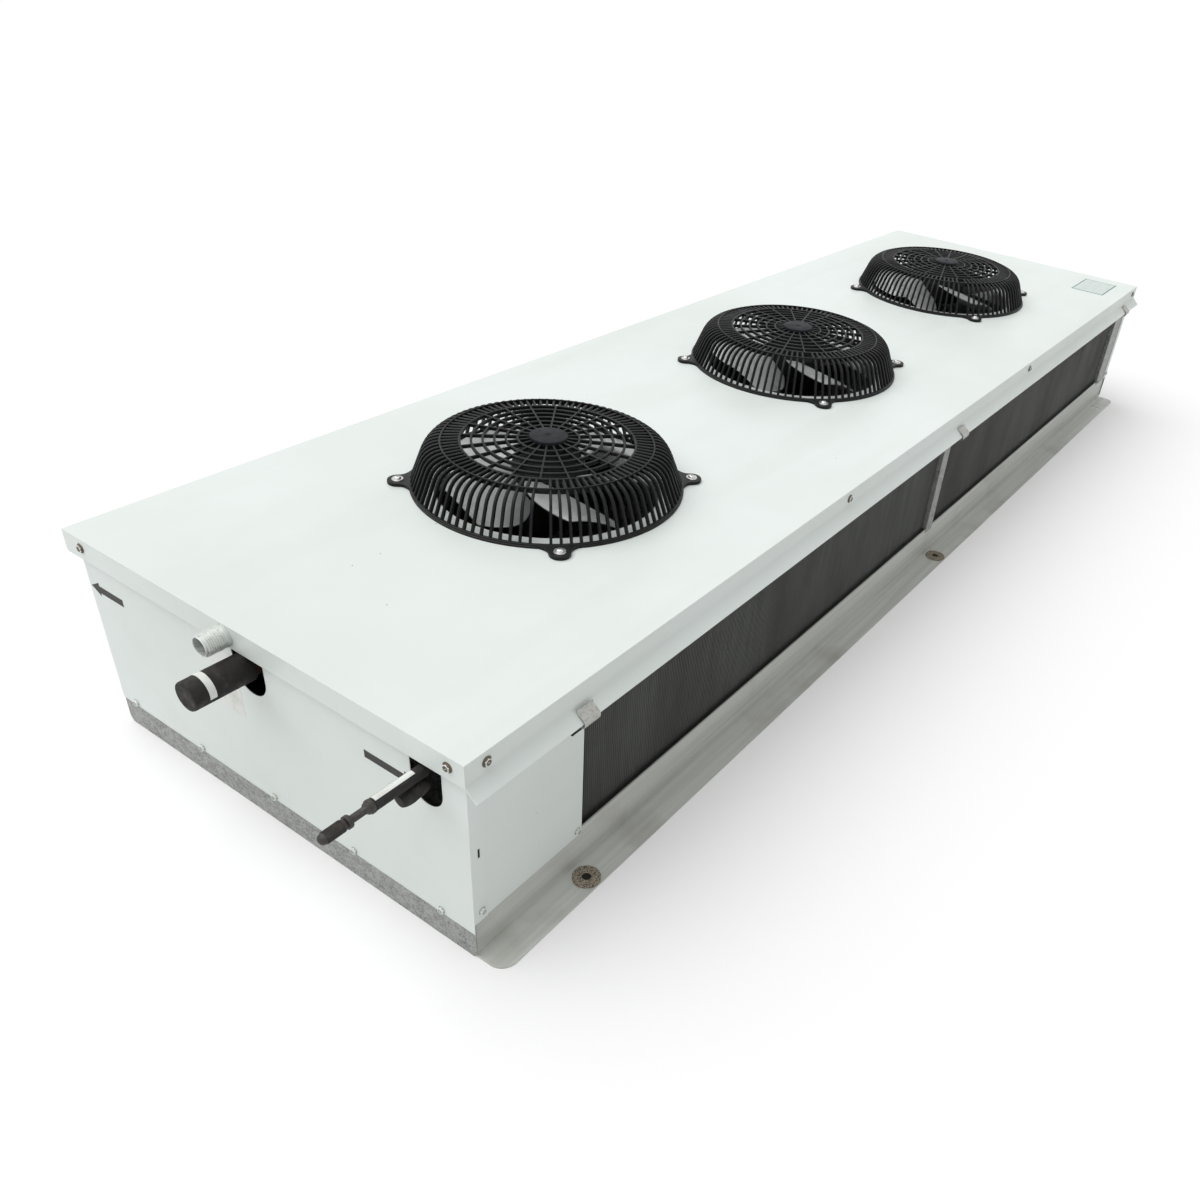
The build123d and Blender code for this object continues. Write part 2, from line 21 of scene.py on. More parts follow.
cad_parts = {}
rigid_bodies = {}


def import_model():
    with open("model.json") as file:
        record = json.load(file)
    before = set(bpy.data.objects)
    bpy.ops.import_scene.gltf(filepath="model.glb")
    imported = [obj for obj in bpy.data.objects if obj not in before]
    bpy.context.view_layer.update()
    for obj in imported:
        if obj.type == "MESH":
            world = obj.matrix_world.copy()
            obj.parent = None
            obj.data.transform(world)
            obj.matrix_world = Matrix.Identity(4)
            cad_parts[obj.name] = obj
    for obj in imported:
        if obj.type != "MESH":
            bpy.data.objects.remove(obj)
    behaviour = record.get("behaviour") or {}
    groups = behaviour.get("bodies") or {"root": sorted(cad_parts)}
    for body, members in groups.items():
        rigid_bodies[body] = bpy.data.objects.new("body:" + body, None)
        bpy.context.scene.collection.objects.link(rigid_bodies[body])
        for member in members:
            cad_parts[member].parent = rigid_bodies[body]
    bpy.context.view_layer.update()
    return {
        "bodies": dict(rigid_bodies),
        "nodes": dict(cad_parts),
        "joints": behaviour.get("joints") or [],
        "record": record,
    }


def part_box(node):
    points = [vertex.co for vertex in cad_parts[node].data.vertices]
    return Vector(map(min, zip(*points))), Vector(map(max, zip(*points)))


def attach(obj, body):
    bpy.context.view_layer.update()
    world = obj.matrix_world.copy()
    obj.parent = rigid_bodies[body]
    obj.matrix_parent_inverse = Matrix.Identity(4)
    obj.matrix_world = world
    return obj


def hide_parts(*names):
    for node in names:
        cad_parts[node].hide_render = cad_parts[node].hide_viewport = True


LOG = logging.getLogger("unit_cooler")
MM = 0.001
CASING = "casing"

Point = tuple[float, float, float]
Flat = tuple[float, float]
Colour = tuple[float, float, float]
Seat = tuple[Point, Point]
Socket = bpy.types.NodeSocket
Material = bpy.types.Material
Mesh = bpy.types.Mesh
Piece = bpy.types.Object
EditMesh = bmesh.types.BMesh
Vert = bmesh.types.BMVert

POLE = 1e-7  # a profile point nearer the axis than this is a pole
BAR_EASING = 0.28  # how far a swept bar's corners are cut, against its width
TO_NEAR = Matrix(((0, 0, -1, 0), (0, 1, 0, 0), (1, 0, 0, 0), (0, 0, 0, 1)))  # lays +Z along -X


class Axis(Enum):
    """The direction that a turned piece's own axis is laid along."""

    UP = "up"
    NEAR = "near"


class Edge(Enum):
    """How the edges of a softened CAD copy are rounded."""

    CUT = (0.35, 1)
    FOLD = (0.55, 2)
    THICK = (0.8, 2)


# ---------------------------------------------------------------------------------------
# Colour and node helpers
# ---------------------------------------------------------------------------------------


def paint(red: int, green: int, blue: int) -> Colour:
    """Turn an 8-bit display colour into the linear one that a shader takes.

    Args:
        red: Red from 0 to 255.
        green: Green from 0 to 255.
        blue: Blue from 0 to 255.

    Returns:
        The linear colour.
    """

    def linear(value: int) -> float:
        """Undo the display curve of one channel."""
        share = value / 255
        return share / 12.92 if share <= 0.04045 else ((share + 0.055) / 1.055) ** 2.4

    return linear(red), linear(green), linear(blue)


class Shading:
    """A short way to write one material's nodes."""

    def __init__(self, name: str) -> None:
        """Start an empty material.

        Args:
            name: The material's name.
        """
        self.material = bpy.data.materials.new(name)
        self.material.use_nodes = True
        self.tree = self.material.node_tree
        self.tree.nodes.clear()
        self.output = self.tree.nodes.new("ShaderNodeOutputMaterial")
        self.shader = self.tree.nodes.new("ShaderNodeBsdfPrincipled")
        self.tree.links.new(self.shader.outputs["BSDF"], self.output.inputs["Surface"])
        coords = self.tree.nodes.new("ShaderNodeTexCoord")
        self.place = coords.outputs["Object"]

    def link(self, source: Socket, target: Socket) -> None:
        """Join two sockets."""
        self.tree.links.new(source, target)

    def stretched(self, scale: Point) -> Socket:
        """Stretch the object's coordinates by a factor on each axis.

        Args:
            scale: The factor on each axis.

        Returns:
            The stretched coordinates' socket.
        """
        mapping = self.tree.nodes.new("ShaderNodeMapping")
        mapping.inputs["Scale"].default_value = scale
        self.link(self.place, mapping.inputs["Vector"])
        return mapping.outputs["Vector"]

    def noise(self, scale: float, detail: float = 3.0, place: Socket | None = None) -> Socket:
        """Return a noise value.

        Args:
            scale: Features per metre.
            detail: Octaves of finer noise.
            place: Coordinates, or None for the object's own.

        Returns:
            The noise factor's socket.
        """
        node = self.tree.nodes.new("ShaderNodeTexNoise")
        node.inputs["Scale"].default_value = scale
        node.inputs["Detail"].default_value = detail
        self.link(place or self.place, node.inputs["Vector"])
        return node.outputs["Fac"]

    def cells(self, scale: float, what: str = "Distance") -> Socket:
        """Return a Voronoi value on the object's own coordinates.

        Args:
            scale: Cells per metre.
            what: The output's name, Distance or Color.

        Returns:
            That output's socket.
        """
        node = self.tree.nodes.new("ShaderNodeTexVoronoi")
        node.inputs["Scale"].default_value = scale
        self.link(self.place, node.inputs["Vector"])
        return node.outputs[what]

    def span(
        self, value: Socket, low: float, high: float, to_low: float = 0.0, to_high: float = 1.0
    ) -> Socket:
        """Map a value's range onto another one, clamped.

        Args:
            value: The socket to read.
            low: Start of the range read.
            high: End of the range read.
            to_low: What the start becomes.
            to_high: What the end becomes.

        Returns:
            The result's socket.
        """
        node = self.tree.nodes.new("ShaderNodeMapRange")
        ends = {"From Min": low, "From Max": high, "To Min": to_low, "To Max": to_high}
        for name, number in ends.items():
            node.inputs[name].default_value = number
        self.link(value, node.inputs["Value"])
        return node.outputs["Result"]

    def times(self, first: Socket, second: Socket | float) -> Socket:
        """Multiply two values.

        Args:
            first: A value.
            second: A value or a number.

        Returns:
            The product's socket.
        """
        node = self.tree.nodes.new("ShaderNodeMath")
        node.operation = "MULTIPLY"
        self.link(first, node.inputs[0])
        if isinstance(second, Socket):
            self.link(second, node.inputs[1])
        else:
            node.inputs[1].default_value = second
        return node.outputs[0]

    def blend(self, share: Socket, first: Socket | Colour, second: Socket | Colour) -> Socket:
        """Mix two colours.

        Args:
            share: How much of the second colour shows.
            first: A colour or a socket.
            second: A colour or a socket.

        Returns:
            The mixed colour's socket.
        """
        node = self.tree.nodes.new("ShaderNodeMix")
        node.data_type = "RGBA"
        self.link(share, node.inputs["Factor"])
        colour_inputs = [s for s in node.inputs if s.type == "RGBA"]
        for socket, value in zip(colour_inputs, (first, second)):
            if isinstance(value, Socket):
                self.link(value, socket)
            else:
                socket.default_value = (*value, 1.0)
        return [s for s in node.outputs if s.type == "RGBA"][0]

    def relief(
        self, height: Socket, strength: float, distance: float, under: Socket | None = None
    ) -> Socket:
        """Turn a height into a bumped normal.

        Args:
            height: The height's socket.
            strength: From 0 to 1.
            distance: The height of a full step, in metres.
            under: A coarser bump's normal that this one lies on.

        Returns:
            The normal's socket.
        """
        node = self.tree.nodes.new("ShaderNodeBump")
        node.inputs["Strength"].default_value = strength
        node.inputs["Distance"].default_value = distance
        self.link(height, node.inputs["Height"])
        if under is not None:
            self.link(under, node.inputs["Normal"])
        return node.outputs["Normal"]

    def facing_up(self) -> Socket:
        """Tell where the surface faces up (1) from where it faces sideways or down (0).

        Returns:
            The share's socket.
        """
        geometry = self.tree.nodes.new("ShaderNodeNewGeometry")
        parts = self.tree.nodes.new("ShaderNodeSeparateXYZ")
        self.link(geometry.outputs["Normal"], parts.inputs[0])
        return self.span(parts.outputs["Z"], 0.35, 0.95)

    def finish(
        self,
        colour: Socket | Colour,
        roughness: Socket | float,
        metal: float = 0.0,
        normal: Socket | None = None,
        specular: float = 0.5,
    ) -> Material:
        """Set the shader's own sockets.

        Args:
            colour: Base colour.
            roughness: Roughness.
            metal: Metallic share.
            normal: Bumped normal.
            specular: Specular level.

        Returns:
            The finished material.
        """
        if isinstance(colour, Socket):
            self.link(colour, self.shader.inputs["Base Color"])
        else:
            self.shader.inputs["Base Color"].default_value = (*colour, 1.0)
        if isinstance(roughness, Socket):
            self.link(roughness, self.shader.inputs["Roughness"])
        else:
            self.shader.inputs["Roughness"].default_value = roughness
        self.shader.inputs["Metallic"].default_value = metal
        self.shader.inputs["Specular IOR Level"].default_value = specular
        if normal is not None:
            self.link(normal, self.shader.inputs["Normal"])
        return self.material


# ---------------------------------------------------------------------------------------
# Finishes
# ---------------------------------------------------------------------------------------


@dataclass(frozen=True)
class PaintedSheet:
    """Powder-coated sheet steel: faint orange peel, soft buckles, dust and a few chips."""

    name: str = "casing_paint"
    colour: Colour = paint(229, 236, 233)
    worn: Colour = paint(213, 220, 212)
    chip: Colour = paint(120, 112, 98)

    def material(self) -> Material:
        """Build the material.

        Returns:
            The material.
        """
        s = Shading(self.name)
        cloud = s.span(s.noise(2.2, 4.0), 0.42, 0.68)
        streak = s.span(s.noise(9.0, 4.0, s.stretched((0.25, 1.6, 1.6))), 0.5, 0.75, 0.0, 0.5)
        colour = s.blend(s.times(cloud, 0.45), self.colour, self.worn)
        colour = s.blend(s.times(streak, 0.5), colour, self.worn)
        speck = s.times(s.span(s.cells(38.0), 0.045, 0.02), s.span(s.noise(6.0, 1.0), 0.56, 0.62))
        colour = s.blend(speck, colour, self.chip)
        rough = s.span(s.noise(14.0), 0.3, 0.7, 0.34, 0.5)
        buckle = s.relief(s.noise(2.4, 1.0), 0.05, 0.01)
        peel = s.relief(s.noise(620.0, 2.0), 0.06, 0.0004, buckle)
        return s.finish(colour, rough, 0.0, peel)


@dataclass(frozen=True)
class GalvanisedSheet:
    """Zinc-coated sheet with small crystals and white bloom."""

    name: str = "galvanised_sheet"
    colour: Colour = paint(150, 152, 150)
    dark: Colour = paint(112, 114, 112)
    bloom: Colour = paint(188, 189, 184)
    crystals: float = 170.0

    def material(self) -> Material:
        """Build the material.

        Returns:
            The material.
        """
        s = Shading(self.name)
        grain = s.span(s.cells(self.crystals, "Color"), 0.2, 0.8)
        fine = s.span(s.noise(420.0, 3.0), 0.35, 0.65)
        colour = s.blend(grain, self.colour, self.dark)
        colour = s.blend(s.times(fine, 0.6), colour, self.bloom)
        rough = s.span(s.noise(60.0), 0.3, 0.7, 0.42, 0.62)
        return s.finish(colour, rough, 0.35, s.relief(s.noise(300.0), 0.1, 0.0006))


@dataclass(frozen=True)
class RailSheet:
    """Dull rolled aluminium: long faint streaks, smears and dry dirt."""

    name: str = "rail_sheet"
    colour: Colour = paint(206, 208, 203)
    streak: Colour = paint(186, 188, 182)
    dirt: Colour = paint(150, 147, 137)

    def material(self) -> Material:
        """Build the material.

        Returns:
            The material.
        """
        s = Shading(self.name)
        rolled = s.span(s.noise(26.0, 5.0, s.stretched((0.12, 5.0, 5.0))), 0.4, 0.66)
        smear = s.span(s.noise(7.0, 5.0), 0.55, 0.75)
        colour = s.blend(s.times(rolled, 0.7), self.colour, self.streak)
        colour = s.blend(s.times(smear, 0.6), colour, self.dirt)
        rough = s.span(s.noise(30.0, 3.0, s.stretched((0.2, 3.0, 3.0))), 0.3, 0.7, 0.36, 0.56)
        scratches = s.relief(s.noise(90.0, 4.0, s.stretched((0.1, 4.0, 4.0))), 0.12, 0.0008)
        return s.finish(colour, rough, 0.15, scratches)


@dataclass(frozen=True)
class FinSheet:
    """Aluminium fins grown dull, with dust caught in patches."""

    name: str = "coil_fins"
    colour: Colour = paint(150, 152, 150)
    dust: Colour = paint(122, 122, 119)

    def material(self) -> Material:
        """Build the material.

        Returns:
            The material.
        """
        s = Shading(self.name)
        patch = s.span(s.noise(8.0, 4.0, s.stretched((1.0, 1.0, 0.35))), 0.4, 0.66)
        line = s.span(s.noise(160.0, 2.0, s.stretched((1.0, 0.1, 0.05))), 0.4, 0.7)
        colour = s.blend(patch, self.colour, self.dust)
        colour = s.blend(s.times(line, 0.5), colour, self.dust)
        return s.finish(colour, s.span(patch, 0.0, 1.0, 0.42, 0.62), 0.55)


@dataclass(frozen=True)
class MouldedPlastic:
    """Black glass-filled plastic with a fine spark grain and a film of dust on top."""

    name: str = "guard_plastic"
    colour: Colour = paint(13, 14, 15)
    dust: Colour = paint(38, 40, 41)
    rough: float = 0.42

    def material(self) -> Material:
        """Build the material.

        Returns:
            The material.
        """
        s = Shading(self.name)
        film = s.times(s.facing_up(), s.span(s.noise(45.0, 4.0), 0.38, 0.7))
        colour = s.blend(s.times(film, 0.55), self.colour, self.dust)
        rough = s.span(s.noise(80.0), 0.3, 0.7, self.rough - 0.07, self.rough + 0.1)
        return s.finish(colour, rough, 0.0, s.relief(s.noise(1500.0, 2.0), 0.12, 0.0002), 0.22)


@dataclass(frozen=True)
class BrushedMetal:
    """Bare or plated metal with light wear and spots."""

    name: str
    colour: Colour
    spot: Colour
    metal: float = 0.85
    rough: float = 0.36
    spots: float = 300.0
    spotted: float = 0.6

    def material(self) -> Material:
        """Build the material.

        Returns:
            The material.
        """
        s = Shading(self.name)
        blot = s.span(s.noise(self.spots, 4.0), 0.5, 0.72, 0.0, self.spotted)
        colour = s.blend(blot, self.colour, self.spot)
        rough = s.span(s.noise(self.spots * 0.6), 0.3, 0.7, self.rough - 0.08, self.rough + 0.14)
        return s.finish(colour, rough, self.metal, s.relief(s.noise(self.spots * 2.0), 0.08, 0.0003))


@dataclass(frozen=True)
class Rubber:
    """Soft black rubber or foam skin with a matt pebbled face."""

    name: str
    colour: Colour = paint(33, 31, 30)
    scuff: Colour = paint(74, 70, 66)
    pebbles: float = 700.0

    def material(self) -> Material:
        """Build the material.

        Returns:
            The material.
        """
        s = Shading(self.name)
        scuffed = s.span(s.noise(70.0, 5.0), 0.52, 0.74, 0.0, 0.6)
        colour = s.blend(scuffed, self.colour, self.scuff)
        rough = s.span(s.noise(120.0), 0.3, 0.7, 0.6, 0.82)
        return s.finish(colour, rough, 0.0, s.relief(s.cells(self.pebbles), 0.22, 0.0005), 0.3)


@dataclass(frozen=True)
class PaperFace:
    """A printed label's plain face, a little yellowed and creased."""

    name: str
    colour: Colour = paint(226, 228, 224)
    stain: Colour = paint(196, 196, 184)

    def material(self) -> Material:
        """Build the material.

        Returns:
            The material.
        """
        s = Shading(self.name)
        stain = s.span(s.noise(60.0, 4.0), 0.5, 0.75, 0.0, 0.7)
        colour = s.blend(stain, self.colour, self.stain)
        return s.finish(colour, 0.5, 0.0, s.relief(s.noise(140.0, 3.0), 0.1, 0.0004))


@dataclass(frozen=True)
class FibreBoard:
    """Pressed fibre: beige with dark and pale flecks and a furry face."""

    name: str = "fibre_washer"
    colour: Colour = paint(142, 132, 116)
    fleck: Colour = paint(76, 68, 58)
    pale: Colour = paint(186, 180, 166)

    def material(self) -> Material:
        """Build the material.

        Returns:
            The material.
        """
        s = Shading(self.name)
        dark = s.span(s.noise(420.0, 4.0), 0.5, 0.6)
        light = s.span(s.noise(560.0, 3.0, s.stretched((1.0, 1.3, 0.8))), 0.56, 0.64)
        colour = s.blend(light, s.blend(dark, self.colour, self.fleck), self.pale)
        return s.finish(colour, 0.85, 0.0, s.relief(s.noise(500.0, 4.0), 0.5, 0.001), 0.2)


@dataclass
class Finishes:
    """Every finish of the cooler, built once and handed to the pieces."""

    painted: Material = field(default_factory=PaintedSheet().material)
    galvanised: Material = field(default_factory=GalvanisedSheet().material)
    rail: Material = field(default_factory=RailSheet().material)
    fins: Material = field(default_factory=FinSheet().material)
    guard: Material = field(default_factory=MouldedPlastic().material)
    hub: Material = field(
        default_factory=MouldedPlastic("guard_hub", paint(11, 15, 21), paint(24, 28, 34), 0.56).material
    )
    motor: Material = field(
        default_factory=MouldedPlastic("motor_black", paint(17, 17, 18), paint(40, 40, 40), 0.5).material
    )
    blade: Material = field(
        default_factory=BrushedMetal(
            "fan_metal", paint(196, 198, 198), paint(150, 148, 142), metal=0.35, rough=0.42, spots=40.0
        ).material
    )
    screw: Material = field(
        default_factory=BrushedMetal(
            "screw_zinc", paint(112, 104, 92), paint(74, 50, 34), metal=0.5, rough=0.5, spots=700.0
        ).material
    )
    bright_screw: Material = field(
        default_factory=BrushedMetal(
            "screw_bright",
            paint(205, 206, 204),
            paint(140, 136, 128),
            metal=0.9,
            rough=0.28,
            spots=600.0,
            spotted=0.4,
        ).material
    )
    clip: Material = field(
        default_factory=BrushedMetal(
            "clip_steel", paint(176, 177, 172), paint(116, 108, 96), metal=0.8, rough=0.4, spots=250.0
        ).material
    )
    zinc: Material = field(
        default_factory=BrushedMetal(
            "zinc_stub", paint(208, 212, 208), paint(160, 160, 152), metal=0.4, rough=0.42, spots=220.0
        ).material
    )
    copper: Material = field(
        default_factory=BrushedMetal(
            "copper_pipe", paint(84, 58, 44), paint(46, 36, 31), metal=0.6, rough=0.55, spots=90.0
        ).material
    )
    fitting: Material = field(
        default_factory=BrushedMetal(
            "black_fitting", paint(58, 56, 54), paint(92, 84, 74), metal=0.4, rough=0.5, spots=260.0
        ).material
    )
    rubber: Material = field(default_factory=Rubber("black_rubber").material)
    sleeve: Material = field(
        default_factory=Rubber("sleeve_rubber", paint(40, 39, 38), paint(84, 80, 76), 1100.0).material
    )
    label: Material = field(default_factory=PaperFace("label_paper").material)
    plate: Material = field(
        default_factory=PaperFace("plate_face", paint(206, 216, 213), paint(180, 194, 190)).material
    )
    plate_line: Material = field(
        default_factory=PaperFace("plate_line", paint(96, 132, 128), paint(132, 158, 152)).material
    )
    ink: Material = field(
        default_factory=PaperFace("arrow_ink", paint(8, 8, 8), paint(20, 20, 19)).material
    )
    fibre: Material = field(default_factory=FibreBoard().material)


# ---------------------------------------------------------------------------------------
# Mesh helpers
# ---------------------------------------------------------------------------------------


def new_piece(name: str, bm: EditMesh, material: Material, smooth_angle: float = 32.0) -> Piece:
    """Turn a bmesh into an object at the origin, smooth but for its sharp edges.

    Args:
        name: The object's name.
        bm: The mesh, which is freed.
        material: Its finish.
        smooth_angle: Edges sharper than this many degrees stay sharp.

    Returns:
        The object.
    """
    mesh = bpy.data.meshes.new(name)
    bm.to_mesh(mesh)
    bm.free()
    mesh.materials.append(material)
    mesh.shade_smooth()
    mesh.set_sharp_from_angle(angle=math.radians(smooth_angle))
    piece = bpy.data.objects.new(name, mesh)
    bpy.context.scene.collection.objects.link(piece)
    return piece


def baked(piece: Piece) -> Piece:
    """Turn a piece's modifiers into plain mesh.

    Args:
        piece: An object with modifiers.

    Returns:
        The same object, with the result as its mesh and no modifiers.
    """
    depsgraph = bpy.context.evaluated_depsgraph_get()
    mesh = bpy.data.meshes.new_from_object(piece.evaluated_get(depsgraph), depsgraph=depsgraph)
    piece.modifiers.clear()
    old = piece.data
    piece.data = mesh
    bpy.data.meshes.remove(old)
    mesh.name = piece.name
    return piece


def rounded(piece: Piece, width: float, segments: int = 2, angle: float = 35.0) -> Piece:
    """Round a piece's sharp edges for good.

    Args:
        piece: The object.
        width: Width of the rounding in metres.
        segments: Steps across it.
        angle: Edges sharper than this many degrees are rounded.

    Returns:
        The object, with the rounding in its mesh and its large faces shaded flat.
    """
    piece.data.set_sharp_from_angle(angle=math.pi)
    bevel = piece.modifiers.new("round", "BEVEL")
    bevel.width = width
    bevel.segments = segments
    bevel.limit_method = "ANGLE"
    bevel.angle_limit = math.radians(angle)
    bevel.use_clamp_overlap = True
    weigh = piece.modifiers.new("weigh", "WEIGHTED_NORMAL")
    weigh.weight = 100
    return baked(piece)


def softened_copy(source: Piece, name: str, material: Material, edge: Edge) -> Piece:
    """Copy a CAD node, join its triangles and round its edges.

    Args:
        source: The CAD node's object, which is left as it is.
        name: The copy's name.
        material: Its finish.
        edge: How far its edges are rounded.

    Returns:
        The copy.
    """
    bm = bmesh.new()
    bm.from_mesh(source.data)
    bmesh.ops.remove_doubles(bm, verts=bm.verts, dist=0.02 * MM)
    bmesh.ops.dissolve_limit(bm, angle_limit=math.radians(0.5), verts=bm.verts, edges=bm.edges)
    width, segments = edge.value
    return rounded(new_piece(name, bm, material), width * MM, segments, 50.0)


def turned(
    name: str,
    profile: Sequence[Flat],
    material: Material,
    place: Point = (0.0, 0.0, 0.0),
    axis: Axis = Axis.UP,
    sides: int = 64,
) -> Piece:
    """Turn a closed outline round an axis.

    Args:
        name: The piece's name.
        profile: (radius, height) points of the outline; radius 0 makes a pole.
        material: Its finish.
        place: Where the axis's origin lies.
        axis: The direction that heights run along.
        sides: Facets round the axis.

    Returns:
        The piece.
    """
    bm = bmesh.new()
    rings: list[list[Vert]] = []
    step = 2 * math.pi / sides
    for radius, height in profile:
        count = 1 if radius < POLE else sides
        reach = 0.0 if radius < POLE else radius
        ring = [(reach * math.cos(i * step), reach * math.sin(i * step), height) for i in range(count)]
        rings.append([bm.verts.new(corner) for corner in ring])
    closed = profile[0][0] >= POLE or profile[-1][0] >= POLE
    pairs = list(zip(rings, rings[1:])) + ([(rings[-1], rings[0])] if closed else [])
    for low, high in pairs:
        for i in range(sides):
            j = (i + 1) % sides
            face = (low[i % len(low)], low[j % len(low)], high[j % len(high)], high[i % len(high)])
            different = list(dict.fromkeys(face))
            if len(different) > 2:
                bm.faces.new(different)
    if axis is Axis.NEAR:
        bm.transform(TO_NEAR)
    bm.transform(Matrix.Translation(place))
    bmesh.ops.recalc_face_normals(bm, faces=bm.faces)
    return new_piece(name, bm, material)


def lofted(bm: EditMesh, rings: Sequence[Sequence[Vert]]) -> None:
    """Close a row of rings into one body, with its faces outwards.

    Args:
        bm: The mesh that holds the rings' corners.
        rings: Rings of the same number of corners, in order along the body.
    """
    sides = len(rings[0])
    for low, high in zip(rings, rings[1:]):
        for i in range(sides):
            j = (i + 1) % sides
            bm.faces.new((low[i], low[j], high[j], high[i]))
    bm.faces.new(rings[0])
    bm.faces.new(rings[-1])
    bmesh.ops.recalc_face_normals(bm, faces=bm.faces)


def plate(name: str, outline: Sequence[Point], thickness: Vector, material: Material) -> Piece:
    """Give a flat outline a thickness.

    Args:
        name: The piece's name.
        outline: The outline's corners in order.
        thickness: The way and distance that it is thickened.
        material: Its finish.

    Returns:
        The piece.
    """
    bm = bmesh.new()
    far = [Vector(spot) + thickness for spot in outline]
    lofted(bm, [[bm.verts.new(spot) for spot in ring] for ring in (outline, far)])
    return new_piece(name, bm, material)


def block(name: str, low: Point, high: Point, material: Material) -> Piece:
    """Make a box between two corners."""
    outline = flat_box((low[0], low[1]), (high[0], high[1]), low[2])
    return plate(name, outline, Vector((0, 0, high[2] - low[2])), material)


def flat_box(low: Flat, high: Flat, level: float) -> list[Point]:
    """Return a level rectangle's four corners in order."""
    spots = (low, (high[0], low[1]), high, (low[0], high[1]))
    return [(x, y, level) for x, y in spots]


def thickened(piece: Piece, thickness: float) -> Piece:
    """Give a bare surface a wall, half to each side.

    Args:
        piece: The surface.
        thickness: The wall's thickness.

    Returns:
        The same object, as a closed sheet.
    """
    solid = piece.modifiers.new("thick", "SOLIDIFY")
    solid.thickness = thickness
    solid.offset = 0.0
    return baked(piece)


def joined(name: str, parts: Sequence[Piece]) -> Piece:
    """Join pieces into one and drop the rest.

    Args:
        name: The joined piece's name.
        parts: The pieces, whose finishes are kept.

    Returns:
        The joined piece.
    """
    bm = bmesh.new()
    materials: list[Material] = []
    for part in parts:
        start = len(bm.faces)
        bm.from_mesh(part.data)
        bm.faces.ensure_lookup_table()
        for face in bm.faces[start:]:
            own = part.data.materials[face.material_index]
            if own not in materials:
                materials.append(own)
            face.material_index = materials.index(own)
    mesh = bpy.data.meshes.new(name)
    bm.to_mesh(mesh)
    bm.free()
    for material in materials:
        mesh.materials.append(material)
    for part in parts:
        bpy.data.objects.remove(part)
    piece = bpy.data.objects.new(name, mesh)
    bpy.context.scene.collection.objects.link(piece)
    return piece


def seated(piece: Piece, body: str, slot: str, *nodes: str) -> Piece:
    """Let a finished piece ride on its body and stand for its CAD nodes.

    Args:
        piece: The finished piece.
        body: The CAD body that it moves with.
        slot: The record's finish slot; not used.
        nodes: CAD nodes that it replaces.

    Returns:
        The piece.
    """
    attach(piece, body)
    if nodes:
        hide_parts(*nodes)
    LOG.info("%s rides on %s, %d faces", piece.name, body, len(piece.data.polygons))
    return piece


# ---------------------------------------------------------------------------------------
# Geometry Nodes
# ---------------------------------------------------------------------------------------


